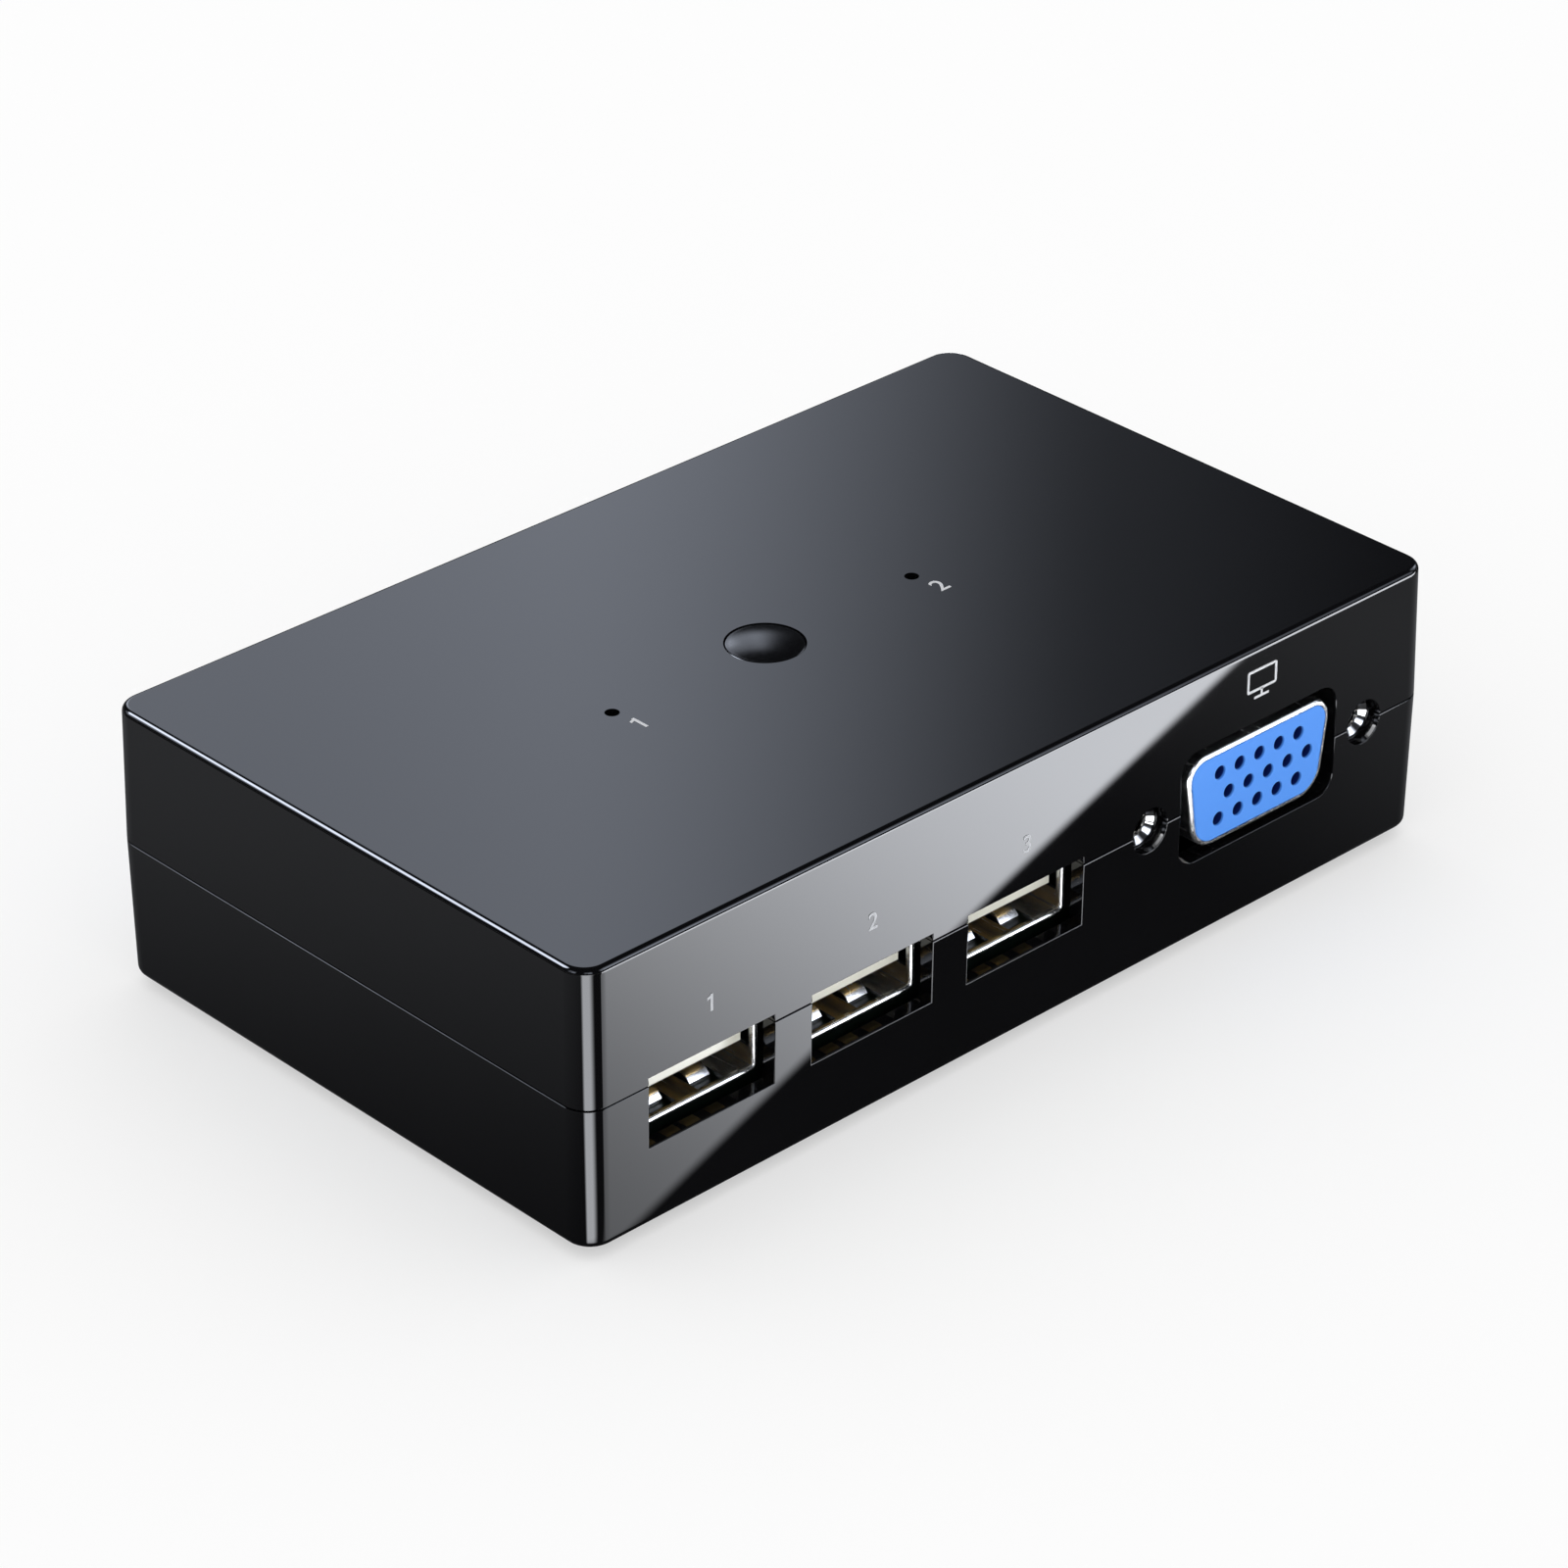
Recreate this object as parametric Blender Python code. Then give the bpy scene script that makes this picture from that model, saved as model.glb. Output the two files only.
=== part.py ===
"""Two-computer KVM switch: a small two-shell desktop case with a select button on top.

Metres, +Z up. The feet stand on z = 0 and the plan centre is x = y = 0. +X runs along the
long front, and -Y faces the front, with three USB-A sockets and the video output. The two
video inputs and the two USB-B sockets are on the back.
"""
from math import asin, cos, pi, radians, sin, tan

import bmesh
import bpy
from mathutils import Matrix, Vector

MM = 0.001

# Case: two moulded shells that meet at a seam half-way up
CASE_LENGTH = 91.65 * MM
CASE_DEPTH = 55.1 * MM
CASE_HEIGHT = 24.15 * MM
SEAM_HEIGHT = 12.3 * MM
FOOT_PROUD = 1.0 * MM
WALL = 1.8 * MM
FLOOR = 2.0 * MM
ROOF = 1.8 * MM
CORNER_RADIUS = 2.25 * MM
TOP_FILLET = 0.5 * MM
BOTTOM_FILLET = 0.7 * MM
INNER_FILLET = 0.3 * MM
DRAFT_TOP = 0.19 * MM
DRAFT_BOTTOM = 0.15 * MM
SEAM_GAP = 0.25 * MM
SEAM_CHAMFER = 0.12 * MM
LIP_LAND = 0.9 * MM
LIP_HEIGHT = 1.0 * MM
CLEARANCE = 0.3 * MM

# Case screws run up through the floor and the board into posts under the roof
SCREW_X = 40.8 * MM
SCREW_Y = 7.5 * MM
SCREW_SHANK_RADIUS = 1.25 * MM
SCREW_HEAD_RADIUS = 2.4 * MM
SCREW_HEAD_HEIGHT = 1.6 * MM
SCREW_LENGTH = 13.0 * MM
SCREW_CROSS_LENGTH = 2.6 * MM
SCREW_CROSS_WIDTH = 0.6 * MM
SCREW_CROSS_DEPTH = 0.9 * MM
COUNTERBORE_DEPTH = 2.6 * MM
POST_RADIUS = 2.75 * MM
POST_RIB_LENGTH = 3.6 * MM
POST_RIB_WIDTH = 1.0 * MM
POST_RIB_DROP = 7.0 * MM
FLOOR_BOSS_RADIUS = 3.8 * MM

# Rubber feet in shallow recesses
FOOT_X = 38.0 * MM
FOOT_Y = 20.4 * MM
FOOT_RADIUS = 4.2 * MM
FOOT_RECESS = 0.6 * MM
FOOT_EDGE = 0.3 * MM

# Circuit board
BOARD_LENGTH = 86.8 * MM
BOARD_DEPTH = 49.6 * MM
BOARD_THICKNESS = 1.6 * MM
BOARD_HEIGHT = 6.75 * MM

# Select button, tactile switch and status lights, on one line across the top
TOP_LINE_Y = -0.38 * MM
BUTTON_X = -2.46 * MM
BUTTON_RADIUS = 3.1 * MM
BUTTON_HOLE_RADIUS = 3.3 * MM
BUTTON_CROWN = 0.35 * MM
BUTTON_RIM_DROP = 0.4 * MM
BUTTON_FLANGE_RADIUS = 4.3 * MM
BUTTON_FLANGE = 0.8 * MM
BUTTON_STEM_RADIUS = 1.7 * MM
GUIDE_RADIUS = 4.7 * MM
GUIDE_WALL = 1.0 * MM
GUIDE_DROP = 3.5 * MM
SWITCH_SIDE = 6.0 * MM
SWITCH_BODY_HEIGHT = 3.4 * MM
SWITCH_WELL_RADIUS = 2.4 * MM
SWITCH_WELL_FLOOR = 1.15 * MM
SWITCH_COVER = 0.3 * MM
PLUNGER_RADIUS = 1.7 * MM
PLUNGER_COLLAR_RADIUS = 2.1 * MM
PLUNGER_COLLAR = 0.9 * MM
PLUNGER_HEIGHT = 9.45 * MM
LIGHT_X = (-18.58 * MM, 13.65 * MM)
LIGHT_HOLE_RADIUS = 0.575 * MM
LIGHT_TIP_RADIUS = 0.42 * MM
LIGHT_TIP_DROP = 0.4 * MM
LIGHT_PIPE_RADIUS = 1.2 * MM
LIGHT_SLEEVE_WALL = 0.8 * MM
LIGHT_SLEEVE_DROP = 6.0 * MM
LED_LENGTH = 2.0 * MM
LED_WIDTH = 1.25 * MM
LED_HEIGHT = 0.8 * MM

# USB-A sockets on the front
USB_A_COUNT = 3
USB_A_FIRST_X = -33.3 * MM
USB_A_PITCH = 16.4 * MM
USB_A_HEIGHT = 9.9 * MM
USB_A_WINDOW = (12.6 * MM, 6.1 * MM)
USB_A_MOUTH = (12.5 * MM, 5.12 * MM)
USB_A_LENGTH = 14.0 * MM
USB_A_SETBACK = 2.1 * MM
USB_A_CORNER = 0.7 * MM
SHEET = 0.3 * MM
TONGUE_WIDTH = 11.1 * MM
TONGUE_THICKNESS = 1.84 * MM
TONGUE_RISE = 0.72 * MM
TONGUE_SETBACK = 0.7 * MM
TONGUE_CHAMFER = 0.25 * MM
TONGUE_BASE_DEPTH = 2.4 * MM
FINGER_X = 2.4 * MM
FINGER_WIDTH = 2.0 * MM
FINGER_LENGTH = 5.5 * MM
FINGER_START = 0.8 * MM
FINGER_SLIT = 0.35 * MM

# USB-B sockets on the back
USB_B_X = 6.75 * MM
USB_B_SIZE = (12.04 * MM, 10.9 * MM)
USB_B_WINDOW_MARGIN = 0.33 * MM
USB_B_LENGTH = 16.0 * MM
USB_B_SETBACK = 0.6 * MM
USB_B_FACE_SETBACK = 0.4 * MM
USB_B_MOUTH = (8.45 * MM, 7.78 * MM)
USB_B_MOUTH_CHAMFER = 1.6 * MM
USB_B_MOUTH_DEPTH = 9.2 * MM
USB_B_TONGUE = (5.6 * MM, 3.18 * MM)
USB_B_TONGUE_SETBACK = 1.7 * MM

# Video sockets: one output on the front, two inputs on the back
VIDEO_OUT_X = 25.76 * MM
VIDEO_IN_X = 28.7 * MM
VIDEO_WINDOW = (18.05 * MM, 10.1 * MM)
VIDEO_WINDOW_CORNER = 1.8 * MM
VIDEO_COLLAR = (16.4 * MM, 8.5 * MM)
VIDEO_COLLAR_DEPTH = 5.9 * MM
VIDEO_CORNER = 2.3 * MM
VIDEO_SLANT = radians(8)
VIDEO_FACE = (15.5 * MM, 7.6 * MM)
VIDEO_RIM_SETBACK = 0.05 * MM
VIDEO_FLANGE = (30.4 * MM, 12.5 * MM)
VIDEO_FLANGE_THICKNESS = 0.9 * MM
VIDEO_FLANGE_CORNER = 1.5 * MM
PIN_HOLE_RADIUS = 0.6 * MM
PIN_HOLE_DEPTH = 4.5 * MM
PIN_PITCH = 2.29 * MM
PIN_ROWS = ((2.1 * MM, 0.0), (0.0, 1.145 * MM), (-2.1 * MM, 0.0))
PINS_IN_ROW = 5
HOUSING_SIZE = (25.0 * MM, 10.6 * MM)
HOUSING_STEP_HEIGHT = 5.0 * MM
HOUSING_UPPER_DEPTH = 4.5 * MM
HOUSING_DEPTH = 9.0 * MM

# Jack nuts beside each video socket
JACK_SPACING = 24.99 * MM
JACK_HOLE_RADIUS = 2.1 * MM
JACK_NOSE_RADIUS = 1.9 * MM
JACK_NOSE_SETBACK = 1.3 * MM
JACK_BORE_RADIUS = 1.35 * MM
JACK_COUNTERSINK = 0.45 * MM
JACK_HEX_ACROSS = 4.75 * MM
FLANGE_HOLE_RADIUS = 1.6 * MM

# Pieces on the board: name, centre x, centre y, length, width, height
CHIPS = (
    ("video_switch_chip", 26.0 * MM, 0.0, 10.0 * MM, 10.0 * MM, 1.4 * MM),
    ("usb_hub_chip", -31.0 * MM, 1.5 * MM, 7.0 * MM, 7.0 * MM, 1.2 * MM),
    ("controller_chip", 6.5 * MM, 2.0 * MM, 5.0 * MM, 4.4 * MM, 1.5 * MM),
    ("voltage_regulator", -10.8 * MM, -5.5 * MM, 6.5 * MM, 3.5 * MM, 1.7 * MM),
)
CHIP_EDGE = 0.25 * MM
CRYSTAL_X = -28.0 * MM
CRYSTAL_Y = -7.4 * MM
CRYSTAL_SIZE = (11.0 * MM, 4.6 * MM)
CRYSTAL_HEIGHT = 3.5 * MM
CAPACITOR_PLACES = ((-12.0 * MM, 5.5 * MM), (9.5 * MM, -6.5 * MM))
CAPACITOR_RADIUS = 2.5 * MM
CAPACITOR_HEIGHT = 6.0 * MM
CAPACITOR_CRIMP = 0.3 * MM

# Levels and faces worked out from the dimensions above
BASE_Z = FOOT_PROUD
TOP_Z = BASE_Z + CASE_HEIGHT
SEAM_Z = BASE_Z + SEAM_HEIGHT
FLOOR_Z = BASE_Z + FLOOR
ROOF_Z = TOP_Z - ROOF
BOARD_TOP = BASE_Z + BOARD_HEIGHT
BOARD_UNDER = BOARD_TOP - BOARD_THICKNESS
SEAT_Z = BOARD_TOP + CLEARANCE
FRONT_Y = -CASE_DEPTH / 2
BACK_Y = CASE_DEPTH / 2
USB_A_Z = BASE_Z + USB_A_HEIGHT
USB_B_Z = SEAT_Z + USB_B_SIZE[1] / 2
VIDEO_Z = SEAM_Z
USB_A_XS = [USB_A_FIRST_X + USB_A_PITCH * i for i in range(USB_A_COUNT)]
HALF_TURN = pi
VIDEO_SOCKETS = (
    ("video_out", VIDEO_OUT_X, FRONT_Y, 0.0),
    ("video_in_1", VIDEO_IN_X, BACK_Y, HALF_TURN),
    ("video_in_2", -VIDEO_IN_X, BACK_Y, HALF_TURN),
)
QUARTERS = ((1, 1), (-1, 1), (-1, -1), (1, -1))

CORNER_STEPS = 6
FILLET_STEPS = 4
SMALL_CORNER_STEPS = 3
DOME_STEPS = 4
SMOOTH_ANGLE = radians(32)

# Finish: colour, roughness, metallic
FINISHES = {
    "gloss_black_case": ((0.012, 0.012, 0.014), 0.12, 0.0),
    "gloss_black_button": ((0.010, 0.010, 0.012), 0.08, 0.0),
    "nickel_plate": ((0.80, 0.79, 0.76), 0.18, 1.0),
    "blue_insulator": ((0.09, 0.34, 0.95), 0.45, 0.0),
    "cream_insulator": ((0.90, 0.87, 0.74), 0.40, 0.0),
    "black_insulator": ((0.02, 0.02, 0.02), 0.50, 0.0),
    "foot_rubber": ((0.03, 0.03, 0.03), 0.85, 0.0),
    "green_board": ((0.02, 0.16, 0.06), 0.45, 0.0),
    "chip_epoxy": ((0.02, 0.02, 0.022), 0.60, 0.0),
    "zinc_screw": ((0.62, 0.62, 0.60), 0.35, 1.0),
    "clear_pipe": ((0.75, 0.78, 0.80), 0.10, 0.0),
    "led_resin": ((0.85, 0.83, 0.60), 0.30, 0.0),
    "aluminium_can": ((0.70, 0.71, 0.72), 0.30, 1.0),
}


def finish(name):
    """The named material, made the first time it is asked for."""
    if name in bpy.data.materials:
        return bpy.data.materials[name]
    colour, roughness, metallic = FINISHES[name]
    material = bpy.data.materials.new(name)
    material.use_nodes = True
    shader = material.node_tree.nodes["Principled BSDF"]
    shader.inputs["Base Color"].default_value = (*colour, 1.0)
    shader.inputs["Roughness"].default_value = roughness
    shader.inputs["Metallic"].default_value = metallic
    return material


def rounded_polygon(corners, radius, steps):
    """An anticlockwise convex polygon with an arc of the given radius at each corner."""
    points = []
    for i, corner in enumerate(corners):
        here = Vector(corner)
        to_last = (Vector(corners[i - 1]) - here).normalized()
        to_next = (Vector(corners[(i + 1) % len(corners)]) - here).normalized()
        half_angle = to_last.angle(to_next) / 2
        centre = here + (to_last + to_next).normalized() * radius / sin(half_angle)
        spoke = here + to_last * radius / tan(half_angle) - centre
        turn = pi - 2 * half_angle
        for step in range(steps + 1):
            points.append(centre + Matrix.Rotation(turn * step / steps, 2) @ spoke)
    return points


def rectangle(size):
    """The corners of a centred rectangle, anticlockwise."""
    x, y = size[0] / 2, size[1] / 2
    return [Vector((-x, -y)), Vector((x, -y)), Vector((x, y)), Vector((-x, y))]


def rounded_rectangle(size, radius, steps):
    """A centred rectangle with round corners."""
    return rounded_polygon(rectangle(size), radius, steps)


def socket_outline(size, radius):
    """A centred D-shaped outline of the given overall size, with sides that slant in below."""
    y = size[1] / 2
    x = size[0] / 2 + radius * ((1 + sin(VIDEO_SLANT)) / cos(VIDEO_SLANT) - 1)
    lower_x = x - size[1] * tan(VIDEO_SLANT)
    corners = [(-lower_x, -y), (lower_x, -y), (x, y), (-x, y)]
    return rounded_polygon(corners, radius, CORNER_STEPS - 2)


def circle(radius, sides):
    """A centred circle."""
    return [Vector((radius * cos(2 * pi * i / sides), radius * sin(2 * pi * i / sides)))
            for i in range(sides)]


def hexagon(across, sides):
    """A centred hexagon given by its width across flats, with points along its sides."""
    outline = []
    for i in range(sides):
        angle = 2 * pi * i / sides
        from_flat = (angle + pi / 6) % (pi / 3) - pi / 6
        reach = across / 2 / cos(from_flat)
        outline.append(Vector((reach * cos(angle), reach * sin(angle))))
    return outline


def lying(points, z, centre=(0.0, 0.0)):
    """A ring of an outline laid flat at a height."""
    return [Vector((p.x + centre[0], p.y + centre[1], z)) for p in points]


def facing(points, y, centre=(0.0, 0.0)):
    """A ring of an outline stood up to face along Y, its second axis upwards."""
    return [Vector((p.x + centre[0], y, p.y + centre[1])) for p in points]


def loft(bm, rings, closed=False):
    """Skin rings of equal length. Both ends are capped, or else joined to each other."""
    loops = [[bm.verts.new(point) for point in ring] for ring in rings]
    pairs = list(zip(loops, loops[1:]))
    if closed:
        pairs.append((loops[-1], loops[0]))
    else:
        bm.faces.new(loops[0])
        bm.faces.new(loops[-1])
    for one, other in pairs:
        for i in range(len(one)):
            j = (i + 1) % len(one)
            bm.faces.new((one[i], one[j], other[j], other[i]))
    return bm


def turned(bm, profile, sides, centre=(0.0, 0.0), closed=False):
    """A turned body about a vertical line, from (radius, height) points."""
    return loft(bm, [lying(circle(r, sides), z, centre) for r, z in profile], closed)


def slab(bm, size, low_z, high_z, centre=(0.0, 0.0)):
    """A rectangular block between two heights."""
    outline = rectangle(size)
    return loft(bm, [lying(outline, low_z, centre), lying(outline, high_z, centre)])


def add_object(name, bm, finish_name=None):
    """A named object of closed bodies with their faces turned outwards."""
    bmesh.ops.recalc_face_normals(bm, faces=bm.faces)
    mesh = bpy.data.meshes.new(name)
    bm.to_mesh(mesh)
    bm.free()
    if finish_name:
        mesh.materials.append(finish(finish_name))
    part = bpy.data.objects.new(name, mesh)
    bpy.context.scene.collection.objects.link(part)
    return part


def combine(part, tool_bm, operation):
    """Join tool bodies to a part, or cut them out of it, by an applied Boolean."""
    tool = add_object("tool", tool_bm)
    modifier = part.modifiers.new(operation.title(), "BOOLEAN")
    modifier.solver = "EXACT"
    modifier.operation = operation
    modifier.object = tool
    bpy.context.view_layer.update()
    graph = bpy.context.evaluated_depsgraph_get()
    plain = part.data
    part.data = bpy.data.meshes.new_from_object(part.evaluated_get(graph))
    part.modifiers.clear()
    bpy.data.meshes.remove(plain)
    bpy.data.objects.remove(tool)


def place(part, location=(0.0, 0.0, 0.0), turn=0.0):
    """Shade a finished part and put it in its place under the assembly's empty."""
    part.data.shade_smooth()
    part.data.set_sharp_from_angle(angle=SMOOTH_ANGLE)
    part.location = location
    part.rotation_euler = (0.0, 0.0, turn)
    part.parent = bpy.data.objects["kvm_switch"]
    return part


def place_copies(first, places):
    """Place a part at the first of several named places, and its copies at the rest."""
    for name, location, turn in places[1:]:
        copy = first.copy()
        copy.name = name
        bpy.context.scene.collection.objects.link(copy)
        place(copy, location, turn)
    place(first, *places[0][1:])


def case_ring(inset, z):
    """The case's outline at a height, drawn in from its largest section at the seam."""
    size = (CASE_LENGTH - 2 * inset, CASE_DEPTH - 2 * inset)
    return lying(rounded_rectangle(size, CORNER_RADIUS - inset, CORNER_STEPS), z)


def fillet_rings(inset, edge_z, radius, direction):
    """Rings round a convex edge, from the drafted side to the flat face above or below it."""
    rings = []
    for step in range(FILLET_STEPS + 1):
        angle = pi / 2 * step / FILLET_STEPS
        z = edge_z + direction * radius * (sin(angle) - 1)
        rings.append(case_ring(inset + radius * (1 - cos(angle)), z))
    return rings


def window_tools(bm):
    """Cutters for every socket window and jack hole, through the front and back walls."""
    spans = {
        FRONT_Y: (FRONT_Y - WALL, FRONT_Y + 2 * WALL),
        BACK_Y: (BACK_Y + WALL, BACK_Y - 2 * WALL),
    }

    def cut(outline, x, z, face):
        loft(bm, [facing(outline, y, (x, z)) for y in spans[face]])

    for x in USB_A_XS:
        cut(rectangle(USB_A_WINDOW), x, USB_A_Z, FRONT_Y)
    usb_b_window = [side + 2 * USB_B_WINDOW_MARGIN for side in USB_B_SIZE]
    for side in (-1, 1):
        cut(rectangle(usb_b_window), side * USB_B_X, USB_B_Z, BACK_Y)
    video_window = rounded_rectangle(VIDEO_WINDOW, VIDEO_WINDOW_CORNER, SMALL_CORNER_STEPS)
    for _, x, face, _ in VIDEO_SOCKETS:
        cut(video_window, x, VIDEO_Z, face)
        for side in (-1, 1):
            cut(circle(JACK_HOLE_RADIUS, 14), x + side * JACK_SPACING / 2, VIDEO_Z, face)
    return bm


def build_upper_shell():
    """Upper shell: drafted walls, a rounded roof edge, and a rebate for the lower lip."""
    rim_z = SEAM_Z + SEAM_GAP / 2
    rebate_z = SEAM_Z + LIP_HEIGHT + CLEARANCE
    rings = [
        case_ring(WALL + INNER_FILLET, ROOF_Z),
        case_ring(WALL, ROOF_Z - INNER_FILLET),
        case_ring(WALL, rebate_z),
        case_ring(LIP_LAND, rebate_z),
        case_ring(LIP_LAND, rim_z),
        case_ring(SEAM_CHAMFER, rim_z),
        case_ring(0.0, rim_z + SEAM_CHAMFER),
    ]
    rings += fillet_rings(DRAFT_TOP, TOP_Z, TOP_FILLET, 1)
    shell = add_object("upper_shell", loft(bmesh.new(), rings), "gloss_black_case")

    overlap_z = ROOF_Z + ROOF / 2
    inside = bmesh.new()
    for side_x, side_y in QUARTERS:
        turned(inside, [(POST_RADIUS, SEAT_Z), (POST_RADIUS, overlap_z)], 14,
               (side_x * SCREW_X, side_y * SCREW_Y))
    sleeve_bore = LIGHT_PIPE_RADIUS + CLEARANCE
    for x in LIGHT_X:
        turned(inside, tube_profile(sleeve_bore, LIGHT_SLEEVE_WALL, LIGHT_SLEEVE_DROP), 12,
               (x, TOP_LINE_Y), closed=True)
    turned(inside, tube_profile(GUIDE_RADIUS, GUIDE_WALL, GUIDE_DROP), 20,
           (BUTTON_X, TOP_LINE_Y), closed=True)
    combine(shell, inside, "UNION")

    ribs = bmesh.new()
    for side_x, side_y in QUARTERS:
        rib_x = side_x * (SCREW_X - POST_RADIUS - POST_RIB_LENGTH / 2 + POST_RIB_WIDTH)
        slab(ribs, (POST_RIB_LENGTH, POST_RIB_WIDTH), ROOF_Z - POST_RIB_DROP, overlap_z,
             (rib_x, side_y * SCREW_Y))
    combine(shell, ribs, "UNION")

    holes = window_tools(bmesh.new())
    through_z = TOP_Z + ROOF
    turned(holes, [(BUTTON_HOLE_RADIUS, ROOF_Z - ROOF), (BUTTON_HOLE_RADIUS, through_z)], 24,
           (BUTTON_X, TOP_LINE_Y))
    for x in LIGHT_X:
        turned(holes, [(LIGHT_HOLE_RADIUS, ROOF_Z - ROOF), (LIGHT_HOLE_RADIUS, through_z)], 12,
               (x, TOP_LINE_Y))
    pilot_radius = SCREW_SHANK_RADIUS + CLEARANCE
    pilot_top = SEAT_Z + SCREW_LENGTH
    for side_x, side_y in QUARTERS:
        turned(holes, [(pilot_radius, SEAT_Z - WALL), (pilot_radius, pilot_top)], 10,
               (side_x * SCREW_X, side_y * SCREW_Y))
    combine(shell, holes, "DIFFERENCE")
    place(shell)


def tube_profile(bore, wall, drop):
    """The closed profile of a tube that hangs from the roof."""
    high = ROOF_Z + ROOF / 2
    low = ROOF_Z - drop
    return [(bore, high), (bore, low), (bore + wall, low), (bore + wall, high)]


def build_lower_shell():
    """Lower shell: drafted walls, a rounded bottom edge and a lip that enters the upper one."""
    rim_z = SEAM_Z - SEAM_GAP / 2
    lip_z = SEAM_Z + LIP_HEIGHT
    lip_inset = LIP_LAND + CLEARANCE
    rings = [
        case_ring(WALL + INNER_FILLET, FLOOR_Z),
        case_ring(WALL, FLOOR_Z + INNER_FILLET),
        case_ring(WALL, lip_z),
        case_ring(lip_inset, lip_z),
        case_ring(lip_inset, rim_z),
        case_ring(SEAM_CHAMFER, rim_z),
        case_ring(0.0, rim_z - SEAM_CHAMFER),
    ]
    rings += fillet_rings(DRAFT_BOTTOM, BASE_Z, BOTTOM_FILLET, -1)
    shell = add_object("lower_shell", loft(bmesh.new(), rings), "gloss_black_case")

    bosses = bmesh.new()
    boss_top = BOARD_UNDER - CLEARANCE
    for side_x, side_y in QUARTERS:
        turned(bosses, [(FLOOR_BOSS_RADIUS, FLOOR_Z - FLOOR / 2), (FLOOR_BOSS_RADIUS, boss_top)],
               14, (side_x * SCREW_X, side_y * SCREW_Y))
    combine(shell, bosses, "UNION")

    holes = window_tools(bmesh.new())
    for side_x, side_y in QUARTERS:
        turned(holes, counterbore_profile(), 14, (side_x * SCREW_X, side_y * SCREW_Y))
        recess_radius = FOOT_RADIUS + CLEARANCE
        recess = [(recess_radius, BASE_Z - FOOT_PROUD), (recess_radius, BASE_Z + FOOT_RECESS)]
        turned(holes, recess, 20, (side_x * FOOT_X, side_y * FOOT_Y))
    combine(shell, holes, "DIFFERENCE")
    place(shell)


def counterbore_profile():
    """The stepped hole that takes a case screw's head and shank."""
    head_radius = SCREW_HEAD_RADIUS + CLEARANCE
    shank_radius = SCREW_SHANK_RADIUS + CLEARANCE
    shoulder_z = BASE_Z + COUNTERBORE_DEPTH
    return [
        (head_radius, BASE_Z - FOOT_PROUD),
        (head_radius, shoulder_z),
        (shank_radius, shoulder_z),
        (shank_radius, BOARD_TOP),
    ]


def build_case_screws():
    """Pan-head case screws with a cross recess, driven up from the underside."""
    seat = -CLEARANCE
    head_low = seat - SCREW_HEAD_HEIGHT
    edge = SCREW_HEAD_HEIGHT / 4
    profile = [
        (SCREW_HEAD_RADIUS - edge, head_low),
        (SCREW_HEAD_RADIUS, head_low + edge),
        (SCREW_HEAD_RADIUS, seat),
        (SCREW_SHANK_RADIUS, seat),
        (SCREW_SHANK_RADIUS, seat + SCREW_LENGTH - SCREW_SHANK_RADIUS),
        (SCREW_SHANK_RADIUS / 3, seat + SCREW_LENGTH),
    ]
    screw = add_object("case_screw_1", turned(bmesh.new(), profile, 12), "zinc_screw")
    for size in ((SCREW_CROSS_LENGTH, SCREW_CROSS_WIDTH), (SCREW_CROSS_WIDTH, SCREW_CROSS_LENGTH)):
        recess = slab(bmesh.new(), size, head_low - edge, head_low + SCREW_CROSS_DEPTH)
        combine(screw, recess, "DIFFERENCE")
    shoulder_z = BASE_Z + COUNTERBORE_DEPTH
    place_copies(screw, [
        (f"case_screw_{i + 1}", (side_x * SCREW_X, side_y * SCREW_Y, shoulder_z), 0.0)
        for i, (side_x, side_y) in enumerate(QUARTERS)
    ])


def build_feet():
    """Rubber feet with a softened lower edge."""
    top = FOOT_PROUD + FOOT_RECESS - CLEARANCE
    profile = [
        (FOOT_RADIUS - FOOT_EDGE, 0.0),
        (FOOT_RADIUS, FOOT_EDGE),
        (FOOT_RADIUS, top),
    ]
    foot = add_object("foot_1", turned(bmesh.new(), profile, 20), "foot_rubber")
    place_copies(foot, [
        (f"foot_{i + 1}", (side_x * FOOT_X, side_y * FOOT_Y, 0.0), 0.0)
        for i, (side_x, side_y) in enumerate(QUARTERS)
    ])


def build_circuit_board():
    """Board cut back behind the video sockets' flanges, with a hole at each screw."""
    right, front = BOARD_LENGTH / 2, BOARD_DEPTH / 2
    cut_back = CASE_DEPTH / 2 - VIDEO_COLLAR_DEPTH - VIDEO_FLANGE_THICKNESS - CLEARANCE
    out_step = VIDEO_OUT_X - VIDEO_FLANGE[0] / 2 - CLEARANCE
    in_step = VIDEO_IN_X - VIDEO_FLANGE[0] / 2 - CLEARANCE
    outline = [Vector(point) for point in (
        (-right, -front), (out_step, -front), (out_step, -cut_back), (right, -cut_back),
        (right, cut_back), (in_step, cut_back), (in_step, front),
        (-in_step, front), (-in_step, cut_back), (-right, cut_back),
    )]
    body = loft(bmesh.new(), [lying(outline, BOARD_UNDER), lying(outline, BOARD_TOP)])
    board = add_object("circuit_board", body, "green_board")
    holes = bmesh.new()
    hole_radius = SCREW_SHANK_RADIUS + CLEARANCE
    for side_x, side_y in QUARTERS:
        turned(holes, [(hole_radius, BASE_Z), (hole_radius, SEAM_Z)], 12,
               (side_x * SCREW_X, side_y * SCREW_Y))
    combine(board, holes, "DIFFERENCE")
    place(board)


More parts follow.
